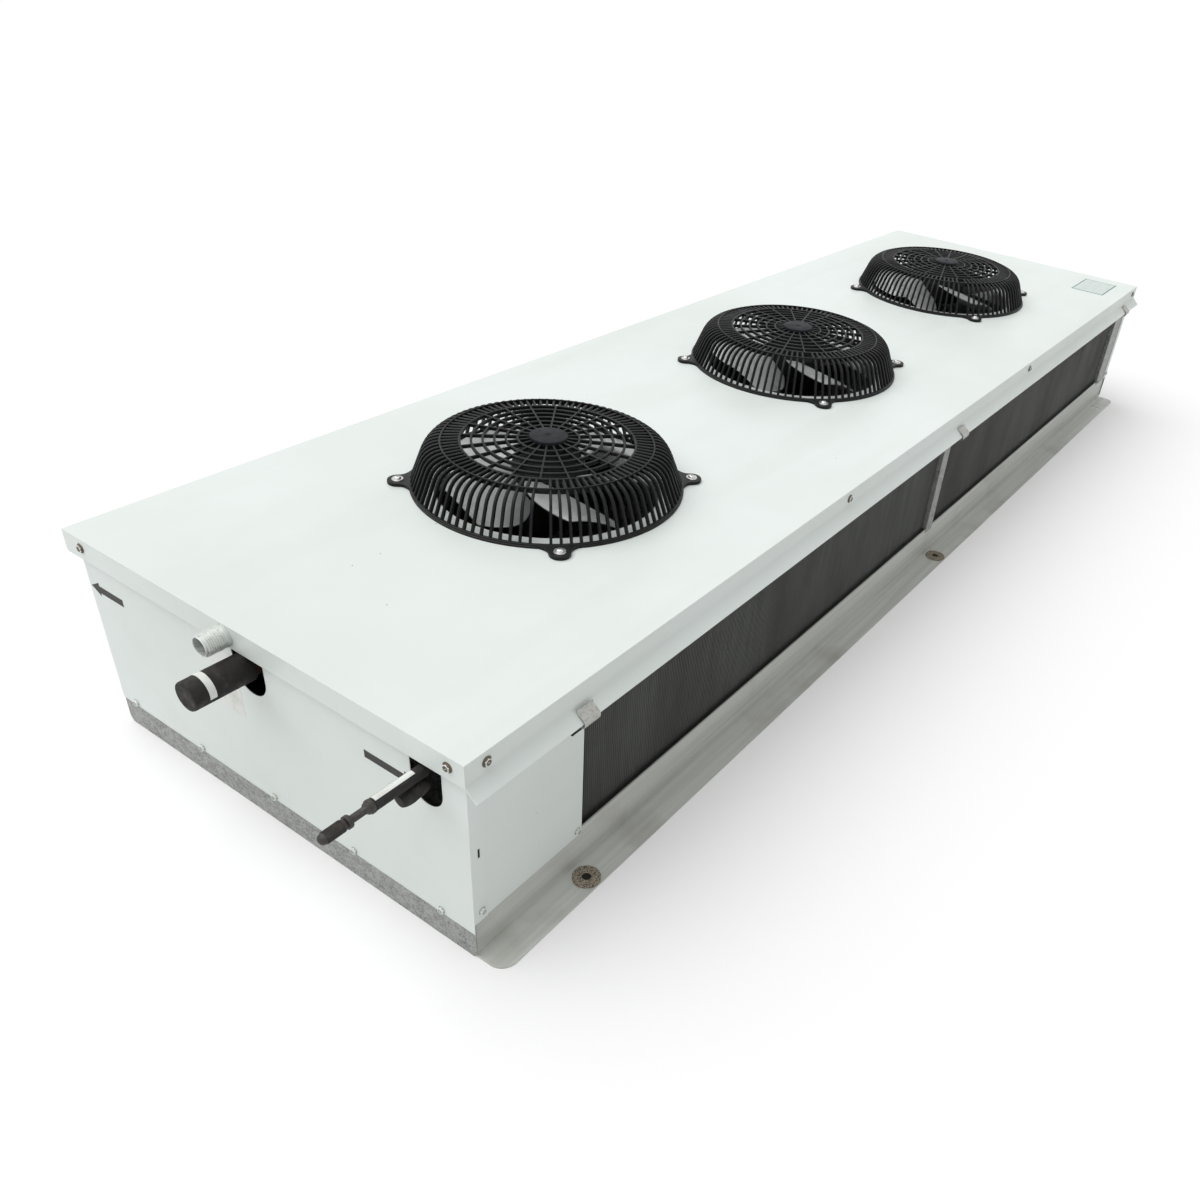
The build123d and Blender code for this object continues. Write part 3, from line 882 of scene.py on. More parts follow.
class Grower:
    """A Geometry Nodes tree written in code, and the run that turns it into plain mesh."""

    def __init__(self, name: str) -> None:
        """Start a tree with a geometry input and output.

        Args:
            name: The tree's name.
        """
        self.tree = bpy.data.node_groups.new(name, "GeometryNodeTree")
        self.tree.is_modifier = True
        for way in ("INPUT", "OUTPUT"):
            self.tree.interface.new_socket(name="Geometry", in_out=way, socket_type="NodeSocketGeometry")
        self.ids: dict[str, str] = {}
        self.group_in = self.tree.nodes.new("NodeGroupInput")
        self.group_out = self.tree.nodes.new("NodeGroupOutput")

    def size(self, name: str, kind: str = "NodeSocketFloat") -> Socket:
        """Add a named input.

        Args:
            name: The input's name.
            kind: Its socket's type.

        Returns:
            Its socket.
        """
        item = self.tree.interface.new_socket(name=name, in_out="INPUT", socket_type=kind)
        self.ids[name] = item.identifier
        return self.group_in.outputs[item.identifier]

    def node(self, kind: str, **settings: object) -> bpy.types.Node:
        """Add a node.

        Args:
            kind: The node's type.
            settings: Its properties, or inputs: a socket is linked and a number is set.

        Returns:
            The node.
        """
        made = self.tree.nodes.new(kind)
        for key, value in settings.items():
            if hasattr(made, key) and not key.startswith("in_"):
                setattr(made, key, value)
                continue
            which = key.removeprefix("in_")
            socket = made.inputs[int(which) if which.isdigit() else which.replace("_", " ")]
            if isinstance(value, Socket):
                self.tree.links.new(value, socket)
            else:
                socket.default_value = value
        return made

    def math(self, operation: str, first: object, second: object) -> Socket:
        """Add a math node and return its result."""
        return self.node("ShaderNodeMath", operation=operation, in_0=first, in_1=second).outputs[0]

    def sweep(self, line: Socket, shape: Socket, capped: bool) -> Socket:
        """Sweep a closed shape along a line, its depth kept upright.

        Args:
            line: The line's geometry.
            shape: The shape's geometry.
            capped: Whether the ends are closed.

        Returns:
            The swept geometry.
        """
        upright = self.node("GeometryNodeSetCurveNormal", mode="Z_UP", in_Curve=line)
        swept = self.node(
            "GeometryNodeCurveToMesh",
            in_Curve=upright.outputs[0],
            in_Profile_Curve=shape,
            in_Fill_Caps=capped,
        )
        return swept.outputs[0]

    def bar_shape(self, width: Socket, depth: Socket) -> Socket:
        """Draw a bar's rectangle with eased corners.

        Args:
            width: The bar's width.
            depth: The bar's depth.

        Returns:
            The shape's geometry.
        """
        shape = self.node("GeometryNodeCurvePrimitiveQuadrilateral", in_Width=width, in_Height=depth)
        easing = self.math("MULTIPLY", width, BAR_EASING)
        shape = self.node(
            "GeometryNodeFilletCurve", mode="POLY", in_Curve=shape.outputs[0], in_Radius=easing, in_Count=1
        )
        return shape.outputs[0]

    def close(self, geometry: Socket, material: Socket) -> None:
        """End the tree in Realize Instances and Set Material.

        Args:
            geometry: What the tree has made.
            material: The finish that it gets.
        """
        real = self.node("GeometryNodeRealizeInstances", in_Geometry=geometry)
        dressed = self.node("GeometryNodeSetMaterial", in_Geometry=real.outputs[0], in_Material=material)
        self.tree.links.new(dressed.outputs[0], self.group_out.inputs[0])

    def grow(self, name: str, base: Mesh, sizes: dict[str, object], smooth_angle: float = 40.0) -> Piece:
        """Run the tree on a base mesh and keep the result as plain mesh.

        Args:
            name: The piece's name.
            base: The mesh that goes into the tree.
            sizes: A value for each named input.
            smooth_angle: Edges sharper than this many degrees stay sharp.

        Returns:
            The piece.
        """
        piece = bpy.data.objects.new(name, base)
        bpy.context.scene.collection.objects.link(piece)
        modifier = piece.modifiers.new("grow", "NODES")
        modifier.node_group = self.tree
        for key, value in sizes.items():
            modifier[self.ids[key]] = value
        piece = baked(piece)
        piece.data.shade_smooth()
        piece.data.set_sharp_from_angle(angle=math.radians(smooth_angle))
        return piece


def polar_bars() -> Grower:
    """Build the tree that sweeps a bar along a guide line and repeats it round Z.

    Returns:
        The tree, with the bar's width and depth, its bend, the count, angles and the one left out.
    """
    g = Grower("PolarBars")
    width, depth = g.size("Bar width"), g.size("Bar depth")
    bend, steps = g.size("Bend radius"), g.size("Bend steps", "NodeSocketInt")
    count = g.size("Count", "NodeSocketInt")
    first, step = g.size("First angle"), g.size("Step angle")
    left_out = g.size("Left out", "NodeSocketInt")
    material = g.size("Material", "NodeSocketMaterial")
    line = g.node("GeometryNodeMeshToCurve", in_Mesh=g.group_in.outputs[0])
    line = g.node(
        "GeometryNodeFilletCurve", mode="POLY", in_Curve=line.outputs[0], in_Radius=bend, in_Count=steps
    )
    bar = g.sweep(line.outputs[0], g.bar_shape(width, depth), capped=True)
    points = g.node("GeometryNodePoints", in_Count=count)
    index = g.node("GeometryNodeInputIndex").outputs[0]
    angle = g.math("ADD", g.math("MULTIPLY", index, step), first)
    turn = g.node("ShaderNodeCombineXYZ", in_Z=angle)
    kept = g.node("FunctionNodeCompare", data_type="INT", operation="NOT_EQUAL")
    ints = [s for s in kept.inputs if s.type == "INT"]
    g.tree.links.new(index, ints[0])
    g.tree.links.new(left_out, ints[1])
    placed = g.node(
        "GeometryNodeInstanceOnPoints",
        in_Points=points.outputs[0],
        in_Instance=bar,
        in_Rotation=turn.outputs[0],
        in_Selection=kept.outputs[0],
    )
    g.close(placed.outputs[0], material)
    return g


def polar_copies() -> Grower:
    """Build the tree that repeats a whole mesh round Z.

    Returns:
        The tree, with the count and first angle.
    """
    g = Grower("PolarCopies")
    count, first = g.size("Count", "NodeSocketInt"), g.size("First angle")
    material = g.size("Material", "NodeSocketMaterial")
    points = g.node("GeometryNodePoints", in_Count=count)
    index = g.node("GeometryNodeInputIndex").outputs[0]
    step = g.math("DIVIDE", 2 * math.pi, count)
    turn = g.node("ShaderNodeCombineXYZ", in_Z=g.math("ADD", g.math("MULTIPLY", index, step), first))
    placed = g.node(
        "GeometryNodeInstanceOnPoints",
        in_Points=points.outputs[0],
        in_Instance=g.group_in.outputs[0],
        in_Rotation=turn.outputs[0],
    )
    g.close(placed.outputs[0], material)
    return g


def ring_set() -> Grower:
    """Build the tree that sweeps a bar round a row of level rings.

    Returns:
        The tree, with the first radius and height, their steps, the bar and the sides.
    """
    g = Grower("RingSet")
    count = g.size("Count", "NodeSocketInt")
    radius, pitch = g.size("First radius"), g.size("Radius step")
    height, drop = g.size("First height"), g.size("Height step")
    width, depth = g.size("Bar width"), g.size("Bar depth")
    sides = g.size("Sides", "NodeSocketInt")
    material = g.size("Material", "NodeSocketMaterial")
    index = g.node("GeometryNodeInputIndex").outputs[0]
    level = g.math("ADD", g.math("MULTIPLY", index, drop), height)
    place = g.node("ShaderNodeCombineXYZ", in_Z=level)
    points = g.node("GeometryNodePoints", in_Count=count, in_Position=place.outputs[0])
    reach = g.math("ADD", g.math("MULTIPLY", index, pitch), radius)
    scale = g.node("ShaderNodeCombineXYZ", in_X=reach, in_Y=reach, in_Z=1.0)
    circle = g.node("GeometryNodeCurvePrimitiveCircle", in_Resolution=sides, in_Radius=1.0)
    placed = g.node(
        "GeometryNodeInstanceOnPoints",
        in_Points=points.outputs[0],
        in_Instance=circle.outputs[0],
        in_Scale=scale.outputs[0],
    )
    rings = g.node("GeometryNodeRealizeInstances", in_Geometry=placed.outputs[0])
    g.close(g.sweep(rings.outputs[0], g.bar_shape(width, depth), capped=False), material)
    return g


def fin_row() -> Grower:
    """Build the tree that stacks thin fins along X and lets their edges wander a little.

    Returns:
        The tree, with the count, pitch, wander and seed.
    """
    g = Grower("FinRow")
    count, pitch = g.size("Count", "NodeSocketInt"), g.size("Pitch")
    wander, seed = g.size("Wander"), g.size("Seed")
    material = g.size("Material", "NodeSocketMaterial")
    step = g.node("ShaderNodeCombineXYZ", in_X=pitch)
    line = g.node("GeometryNodeMeshLine", in_Count=count, in_Offset=step.outputs[0])
    placed = g.node(
        "GeometryNodeInstanceOnPoints", in_Points=line.outputs[0], in_Instance=g.group_in.outputs[0]
    )
    real = g.node("GeometryNodeRealizeInstances", in_Geometry=placed.outputs[0])
    place = g.node("GeometryNodeInputPosition").outputs[0]
    noise = g.node(
        "ShaderNodeTexNoise", noise_dimensions="4D", in_Vector=place, in_W=seed, in_Scale=34.0, in_Detail=3.0
    )
    sway = g.math("MULTIPLY", g.math("SUBTRACT", noise.outputs[0], 0.5), wander)
    shift = g.node("ShaderNodeCombineXYZ", in_X=sway)
    moved = g.node("GeometryNodeSetPosition", in_Geometry=real.outputs[0], in_Offset=shift.outputs[0])
    g.close(moved.outputs[0], material)
    return g


def head_field() -> Grower:
    """Build the tree that puts a screw head on every seat, turned at random about its own axis.

    Returns:
        The tree, with the head object and the seed.
    """
    g = Grower("HeadField")
    head, seed = g.size("Head", "NodeSocketObject"), g.size("Seed", "NodeSocketInt")
    material = g.size("Material", "NodeSocketMaterial")
    out = g.node("GeometryNodeInputNamedAttribute", data_type="FLOAT_VECTOR", in_Name="out")
    aligned = g.node("FunctionNodeAlignRotationToVector", axis="Z", in_Vector=out.outputs[0])
    spin = g.node("FunctionNodeRandomValue", data_type="FLOAT", in_Seed=seed)
    floats = [s for s in spin.inputs if s.type == "VALUE" and s.enabled]
    floats[0].default_value, floats[1].default_value = 0.0, 2 * math.pi
    value = [s for s in spin.outputs if s.type == "VALUE" and s.enabled][0]
    own = g.node("ShaderNodeCombineXYZ", in_Z=value)
    turn = g.node(
        "FunctionNodeRotateRotation", rotation_space="LOCAL", in_0=aligned.outputs[0], in_1=own.outputs[0]
    )
    what = g.node("GeometryNodeObjectInfo", in_Object=head)
    placed = g.node(
        "GeometryNodeInstanceOnPoints",
        in_Points=g.group_in.outputs[0],
        in_Instance=what.outputs["Geometry"],
        in_Rotation=turn.outputs[0],
    )
    g.close(placed.outputs[0], material)
    return g


def thread_coil() -> Grower:
    """Build the tree that winds a sharp thread round Z.

    Returns:
        The tree, with the radius, turns, length and thread depth.
    """
    g = Grower("ThreadCoil")
    radius, turns, length = g.size("Radius"), g.size("Turns"), g.size("Length")
    depth = g.size("Depth")
    material = g.size("Material", "NodeSocketMaterial")
    spiral = g.node(
        "GeometryNodeCurveSpiral",
        in_Resolution=40,
        in_Rotations=turns,
        in_Start_Radius=radius,
        in_End_Radius=radius,
        in_Height=length,
    )
    shape = g.node("GeometryNodeCurvePrimitiveCircle", in_Resolution=4, in_Radius=depth)
    g.close(g.sweep(spiral.outputs[0], shape.outputs[0], capped=True), material)
    return g


@dataclass
class Trees:
    """The Geometry Nodes trees, built once and shared."""

    bars: Grower = field(default_factory=polar_bars)
    copies: Grower = field(default_factory=polar_copies)
    rings: Grower = field(default_factory=ring_set)
    fins: Grower = field(default_factory=fin_row)
    heads: Grower = field(default_factory=head_field)
    thread: Grower = field(default_factory=thread_coil)


def bar_inputs(
    width: float, depth: float, count: int, material: Material, first: float = 0.0, left_out: int = -1
) -> dict[str, object]:
    """Return the bar tree's inputs for unbent bars spread evenly all the way round.

    Args:
        width: A bar's width.
        depth: A bar's depth.
        count: How many bars there would be with none left out.
        material: Their finish.
        first: The first bar's angle.
        left_out: The number of the bar left out, or -1.

    Returns:
        A value for each named input.
    """
    return {
        "Bar width": width,
        "Bar depth": depth,
        "Bend radius": 0.0,
        "Bend steps": 1,
        "Count": count,
        "First angle": first,
        "Step angle": 2 * math.pi / count,
        "Left out": left_out,
        "Material": material,
    }


def guide_line(name: str, points: Sequence[Flat]) -> Mesh:
    """Make a guide line in the XZ plane.

    Args:
        name: The mesh's name.
        points: (x, z) points in order.

    Returns:
        The line, as a mesh of edges.
    """
    mesh = bpy.data.meshes.new(name)
    mesh.from_pydata([(x, 0.0, z) for x, z in points], [(i, i + 1) for i in range(len(points) - 1)], [])
    return mesh


def seat_points(name: str, seats: Sequence[Seat]) -> Mesh:
    """Make loose points that carry the way out of each seat.

    Args:
        name: The mesh's name.
        seats: Place and outward direction of every head.

    Returns:
        The mesh.
    """
    mesh = bpy.data.meshes.new(name)
    mesh.from_pydata([place for place, _ in seats], [], [])
    ways = mesh.attributes.new("out", "FLOAT_VECTOR", "POINT")
    for item, (_, way) in zip(ways.data, seats):
        item.vector = way
    return mesh


# ---------------------------------------------------------------------------------------
# The cooler's sub-assemblies
# ---------------------------------------------------------------------------------------


@dataclass
class Layout:
    """Planes and places that several sub-assemblies share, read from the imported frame."""

    frame: dict
    top: float = 0.0
    near: float = 0.0
    far: float = 0.0
    side: float = 0.0
    fans: list[Point] = field(default_factory=list)
    sheet: float = 1.2 * MM

    def __post_init__(self) -> None:
        """Read the planes from the nodes' boxes and the fans from the joints."""
        base_low, base_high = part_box("base_sheet")
        self.near, self.far = base_low.x - self.sheet, base_high.x + self.sheet
        self.side = base_high.y
        self.fans = [tuple(joint["pos_m"]) for joint in self.frame["joints"]]
        self.top = self.fans[0][2]

    def node(self, name: str) -> Piece:
        """Return a CAD node's object."""
        return self.frame["nodes"][name]


@dataclass
class ScrewHead:
    """A flanged pan head with a cross recess."""

    name: str
    radius: float = 4.8 * MM
    height: float = 3.7 * MM
    flange: float = 6.2 * MM
    flange_height: float = 0.9 * MM
    recess: float = 2.3 * MM
    recess_width: float = 0.8 * MM
    recess_depth: float = 1.2 * MM
    sunk: float = 0.2 * MM
    flat_share: float = 0.35
    dome_steps: int = 5
    sides: int = 20

    def build(self, material: Material) -> Piece:
        """Turn the head and sink the cross into it.

        Args:
            material: The head's finish.

        Returns:
            The head, standing on the origin.
        """
        dome = self.height - self.flange_height
        profile: list[Flat] = [
            (0.0, -self.sunk),
            (self.flange, -self.sunk),
            (self.flange, self.flange_height * 0.6),
            (self.flange - 0.4 * MM, self.flange_height),
            (self.radius, self.flange_height),
        ]
        for i in range(1, self.dome_steps):
            turn = math.radians(90 * i / self.dome_steps)
            reach = self.radius * (self.flat_share + (1 - self.flat_share) * math.cos(turn))
            profile.append((reach, self.flange_height + dome * math.sin(turn)))
        profile.append((0.0, self.height))
        head = turned(self.name, profile, material, sides=self.sides)
        floor, lid, half = self.height - self.recess_depth, self.height + MM, self.recess_width / 2
        sizes = ((self.recess, half), (half, self.recess))
        cross = [block("recess", (-x, -y, floor), (x, y, lid), material) for x, y in sizes]
        for cutter in cross:
            cut = head.modifiers.new("recess", "BOOLEAN")
            cut.object = cutter
            cut.solver = "EXACT"
        baked(head)
        for cutter in cross:
            bpy.data.objects.remove(cutter)
        return head


@dataclass
class SheetWork:
    """The painted and plated sheet parts: tray, end panels, covers, rails, channels and base."""

    layout: Layout
    finishes: Finishes

    def build(self) -> None:
        """Round and dress every sheet part."""
        f, zinc = self.finishes, "galvanised_sheet"
        self.soften("fan_tray", "tray", f.painted, Edge.FOLD, "casing_paint")
        for end in ("connection", "far"):
            self.soften(f"end_panel_{end}", f"end_{end}", f.painted, Edge.CUT, "casing_paint")
        for side in ("front", "back"):
            self.soften(f"side_cover_{side}", f"cover_near_{side}", f.painted, Edge.CUT, "casing_paint")
            self.soften(f"far_cover_{side}", f"cover_far_{side}", f.galvanised, Edge.CUT, zinc)
            self.soften(f"mid_post_{side}", f"post_{side}", f.galvanised, Edge.CUT, zinc)
            self.soften(f"rail_{side}", f"hanging_rail_{side}", f.rail, Edge.THICK, zinc)
            self.soften(f"upper_channel_{side}", f"channel_{side}", f.galvanised, Edge.CUT, zinc)
            self.soften(f"coil_plates_{side}", f"tube_sheets_{side}", f.galvanised, Edge.CUT, zinc)
        self.soften("base_sheet", "base", f.galvanised, Edge.CUT, zinc)

    def soften(self, node: str, name: str, material: Material, edge: Edge, slot: str) -> Piece:
        """Replace one CAD node by its softened copy.

        Args:
            node: The CAD node.
            name: The piece's name.
            material: Its finish.
            edge: How its edges are rounded.
            slot: The record's finish slot.

        Returns:
            The piece.
        """
        copy = softened_copy(self.layout.node(node), name, material, edge)
        return seated(copy, CASING, slot, node)


@dataclass
class Screws:
    """Every screw of the casing and of the guards' ears."""

    layout: Layout
    finishes: Finishes
    trees: Trees
    lip_drop: float = 13 * MM
    lip_side_inset: float = 23 * MM
    lip_side_middle: float = 379 * MM
    lip_end_inset: float = 16.5 * MM
    end_overhang: float = 6 * MM
    front_overhang: float = 5 * MM
    back_overhang: float = 18 * MM
    panel_row: float = 44 * MM
    panel_pitch: float = 137 * MM
    panel_shift: float = 9 * MM
    panel_count: int = 5
    wrap_inset: float = 12 * MM
    wrap_z: float = 67 * MM
    cover_inset: float = 8 * MM
    cover_z: float = 61 * MM
    near_cover: float = 176 * MM
    far_cover: float = 80 * MM
    ear_square: float = 282 * MM
    ear_top: float = 5 * MM
    lip_head: ScrewHead = field(default_factory=lambda: ScrewHead("lip_head"))
    panel_head: ScrewHead = field(
        default_factory=lambda: ScrewHead("panel_head", radius=4.3 * MM, flange=4.8 * MM)
    )
    ear_head: ScrewHead = field(
        default_factory=lambda: ScrewHead(
            "ear_head", radius=4.9 * MM, flange=8.0 * MM, flange_height=1.2 * MM, height=4.1 * MM
        )
    )
    seeds: tuple[int, int, int] = (3, 5, 7)

    def lip_seats(self) -> list[Seat]:
        """Find the seats on the tray's lips.

        Returns:
            Place and outward direction of each.
        """
        place, z = self.layout, self.layout.top - self.lip_drop
        inset, middle = self.lip_side_inset, self.lip_side_middle
        xs = (place.near + inset, -middle, middle, place.far - inset)
        seats = [((x, -place.side - self.front_overhang, z), (0.0, -1.0, 0.0)) for x in xs]
        seats += [((x, place.side + self.back_overhang, z), (0.0, 1.0, 0.0)) for x in xs]
        for x, way in ((place.near - self.end_overhang, -1.0), (place.far + self.end_overhang, 1.0)):
            seats += [((x, s * (place.side - self.lip_end_inset), z), (way, 0.0, 0.0)) for s in (-1, 1)]
        return seats

    def panel_seats(self) -> list[Seat]:
        """Find the seats on the end panels, their wraps and the covers.

        Returns:
            Place and outward direction of each.
        """
        place, seats = self.layout, []
        for x, way in ((place.near, 1), (place.far, -1)):
            first = self.panel_shift - (self.panel_count - 1) / 2 * self.panel_pitch
            row = [first + i * self.panel_pitch for i in range(self.panel_count)]
            seats += [((x, y, self.panel_row), (-way, 0.0, 0.0)) for y in row]
            wrap = x + way * self.wrap_inset
            seats += [((wrap, s * place.side, self.wrap_z), (0.0, s, 0.0)) for s in (-1, 1)]
        face = place.side - place.sheet
        inset = self.cover_inset
        covers = (place.near + self.near_cover - inset, place.far - self.far_cover + inset)
        return seats + [((x, s * face, self.cover_z), (0.0, s, 0.0)) for s in (-1, 1) for x in covers]

    def ear_seats(self) -> list[Seat]:
        """Find the seats on the guards' ears.

        Returns:
            Place and outward direction of each.
        """
        half = self.ear_square / 2
        spots = [(i * half, j * half) for i in (-1, 1) for j in (-1, 1)]
        z, up = self.layout.top + self.ear_top, (0.0, 0.0, 1.0)
        return [((x + dx, y + dy, z), up) for x, y, _ in self.layout.fans for dx, dy in spots]

    def build(self) -> None:
        """Set all three groups of heads."""
        f = self.finishes
        lip, panel, ear = self.seeds
        self.group("lip_screws", self.lip_seats(), self.lip_head, f.screw, lip)
        self.group("panel_screws", self.panel_seats(), self.panel_head, f.clip, panel)
        self.group("ear_screws", self.ear_seats(), self.ear_head, f.bright_screw, ear)

    def group(
        self, name: str, seats: list[Seat], head: ScrewHead, material: Material, seed: int
    ) -> None:
        """Put one kind of head on its seats.

        Args:
            name: The piece's name.
            seats: Place and outward direction of every head.
            head: The head's sizes.
            material: The heads' finish.
            seed: Seed of their random turns.
        """
        model = head.build(material)
        sizes = {"Head": model, "Seed": seed, "Material": material}
        piece = self.trees.heads.grow(name, seat_points(name, seats), sizes)
        bpy.data.objects.remove(model)
        seated(piece, CASING, "clip_steel")


@dataclass
class FanGuard:
    """A moulded basket guard: rim, ears, side ribs, crown rings, spokes and hub."""

    number: int
    centre: Point
    finishes: Finishes
    trees: Trees
    rim_radius: float = 185.5 * MM
    rim_width: float = 5.5 * MM
    rim_height: float = 5.5 * MM
    rib_corner: Flat = (160.5 * MM, 55.6 * MM)
    crown_radius: float = 117 * MM
    crown_height: float = 62 * MM
    rib_bend: float = 28 * MM
    rib_width: float = 3.6 * MM
    rib_depth: float = 5.6 * MM
    rib_root: Flat = (4 * MM, 3 * MM)
    bend_steps: int = 5
    rib_count: int = 90
    first_rib: float = math.radians(2)
    left_out: int = 54
    ring_count: int = 6
    first_ring: float = 41 * MM
    outer_ring: float = 142 * MM
    band_width: float = 2.2 * MM
    band_depth: float = 8 * MM
    ring_width: float = 3.2 * MM
    ring_depth: float = 5.4 * MM
    spoke_count: int = 20
    spoke_width: float = 2.6 * MM
    hub_radius: float = 26 * MM
    hub_height: float = 69 * MM
    hub_thickness: float = 6 * MM
    hub_step: float = 3 * MM
    ring_sides: int = 96
    rim_sides: int = 120
    ear_reach: float = 199.4 * MM
    ear_radius: float = 14 * MM
    ear_neck: float = 30 * MM
    ear_thickness: float = 5 * MM
    ear_edge: float = 0.8 * MM
    ear_steps: int = 6
    ear_flare: float = 2.4
    ear_ways: tuple[int, ...] = (45, 135, 225, 315)
    boss_radius: float = 20 * MM
    boss_depth: float = 12 * MM

    def build(self) -> None:
        """Build the guard and seat it on the casing."""
        parts = [self.rim(), self.ribs(), self.rings(), self.outer_band(), self.spokes(), self.boss()]
        parts += [self.ear(math.radians(way)) for way in self.ear_ways]
        guard = joined(f"fan_guard_{self.number}", parts)
        guard.data.transform(Matrix.Translation(self.centre))
        seated(guard, CASING, "guard_plastic", f"guard_{self.number}")
        hub = self.hub()
        hub.data.transform(Matrix.Translation(self.centre))
        seated(hub, CASING, "guard_plastic")

    def rim(self) -> Piece:
        """Build the rim, rounded on top with a step outside.

        Returns:
            The rim.
        """
        out, inn, high = self.rim_radius, self.rim_radius - self.rim_width, self.rim_height
        profile = [
            (inn, 0.0),
            (out, 0.0),
            (out, high * 0.45),
            (out - 1.2 * MM, high * 0.55),
            (out - 1.4 * MM, high * 0.9),
            (out - 2.2 * MM, high),
            (inn + 1.0 * MM, high),
            (inn, high * 0.88),
        ]
        return turned("rim", profile, self.finishes.guard, sides=self.rim_sides)

    def ribs(self) -> Piece:
        """Build the side ribs, which run over the shoulder to the crown.

        Returns:
            The ribs.
        """
        inset, rise = self.rib_root
        guide = [
            (self.rim_radius - inset, rise),
            self.rib_corner,
            (self.crown_radius - MM, self.crown_height - self.rib_depth / 2),
        ]
        width, depth, finish = self.rib_width, self.rib_depth, self.finishes.guard
        sizes = bar_inputs(width, depth, self.rib_count, finish, self.first_rib, self.left_out)
        sizes["Bend radius"], sizes["Bend steps"] = self.rib_bend, self.bend_steps
        return self.trees.bars.grow("ribs", guide_line("rib", guide), sizes)

    def slope(self, radius: float) -> float:
        """Find the crown's height at a radius.

        Args:
            radius: A distance from the axis.

        Returns:
            The crown's height there.
        """
        rise = self.hub_height - self.hub_step - self.crown_height
        run = self.crown_radius - self.hub_radius
        return self.crown_height + rise * (self.crown_radius - radius) / run

    def rings(self) -> Piece:
        """Build the crown's rings.

        Returns:
            The rings.
        """
        steps = self.ring_count - 1
        pitch = (self.crown_radius - self.first_ring) / steps
        first = self.slope(self.first_ring) - self.ring_depth / 2
        last = self.crown_height - self.ring_depth / 2
        sizes = self.ring_inputs((self.ring_width, self.ring_depth), (self.first_ring, first))
        sizes["Count"] = self.ring_count
        sizes["Radius step"], sizes["Height step"] = pitch, (last - first) / steps
        return self.trees.rings.grow("rings", bpy.data.meshes.new("rings"), sizes)

    def ring_inputs(self, section: Flat, place: Flat) -> dict[str, object]:
        """Return the ring tree's inputs for one ring.

        Args:
            section: The bar's width and depth.
            place: The ring's radius and height.

        Returns:
            A value for each named input.
        """
        return {
            "Count": 1,
            "First radius": place[0],
            "Radius step": 0.0,
            "First height": place[1],
            "Height step": 0.0,
            "Bar width": section[0],
            "Bar depth": section[1],
            "Sides": self.ring_sides,
            "Material": self.finishes.guard,
        }

    def outer_band(self) -> Piece:
        """Build the deep ring that ties the ribs between crown and shoulder.

        Returns:
            The ring.
        """
        share = (self.outer_ring - self.crown_radius) / (self.rib_corner[0] - self.crown_radius)
        level = self.crown_height + share * (self.rib_corner[1] - self.crown_height)
        height = level + (self.rib_depth - self.band_depth) / 2
        sizes = self.ring_inputs((self.band_width, self.band_depth), (self.outer_ring, height))
        return self.trees.rings.grow("outer_band", bpy.data.meshes.new("band"), sizes)

    def spokes(self) -> Piece:
        """Build the crown's spokes.

        Returns:
            The spokes.
        """
        depth = self.ring_depth
        guide = [(r, self.slope(r) - depth / 2) for r in (self.hub_radius - MM, self.crown_radius)]
        sizes = bar_inputs(self.spoke_width, depth, self.spoke_count, self.finishes.guard)
        return self.trees.bars.grow("spokes", guide_line("spoke", guide), sizes)

    def boss(self) -> Piece:
        """Build the boss under the hub that the motor hangs from.

        Returns:
            The boss.
        """
        top = self.hub_height - self.hub_thickness + MM
        low = self.hub_height - 5 * MM - self.boss_depth
        r = self.boss_radius
        profile = [(0.0, low), (r, low), (r, top), (0.0, top)]
        return turned("boss", profile, self.finishes.guard, sides=40)

    def hub(self) -> Piece:
        """Build the hub disc with its rounded edge and small dimple.

        Returns:
            The hub.
        """
        r, top, low = self.hub_radius, self.hub_height, self.hub_height - self.hub_thickness
        edge = [(0.0, low), (r - MM, low), (r, low + MM), (r, top - 2 * MM)]
        face = [(r - 0.6 * MM, top - 0.7 * MM), (r - 2 * MM, top)]
        dimple = [(5 * MM, top - 0.4 * MM), (3.6 * MM, top - 1.4 * MM), (0.0, top - 1.8 * MM)]
        return turned(f"fan_guard_hub_{self.number}", edge + face + dimple, self.finishes.hub)

    def ear(self, angle: float) -> Piece:
        """Return one screw ear, which flares into the rim.

        Args:
            angle: Its direction round the fan.

        Returns:
            The ear.
        """
        root, reach, tip = self.rim_radius - self.rib_root[0], self.ear_reach, self.ear_radius
        side: list[Flat] = []
        for i in range(self.ear_steps + 1):
            t = i / self.ear_steps
            along = root + (reach - root) * t
            across = tip + (self.ear_neck - tip) * (1 - t) ** self.ear_flare
            side.append((along, across))
        turns = [math.radians(degrees) for degrees in range(15, 180, 15)]
        arc = [(reach + tip * math.sin(turn), tip * math.cos(turn)) for turn in turns]
        outline = side + arc + [(x, -y) for x, y in reversed(side)]
        cos, sin = math.cos(angle), math.sin(angle)
        spots = [(x * cos - y * sin, x * sin + y * cos, 0.0) for x, y in outline]
        ear = plate("ear", spots, Vector((0, 0, self.ear_thickness)), self.finishes.guard)
        return rounded(ear, self.ear_edge)


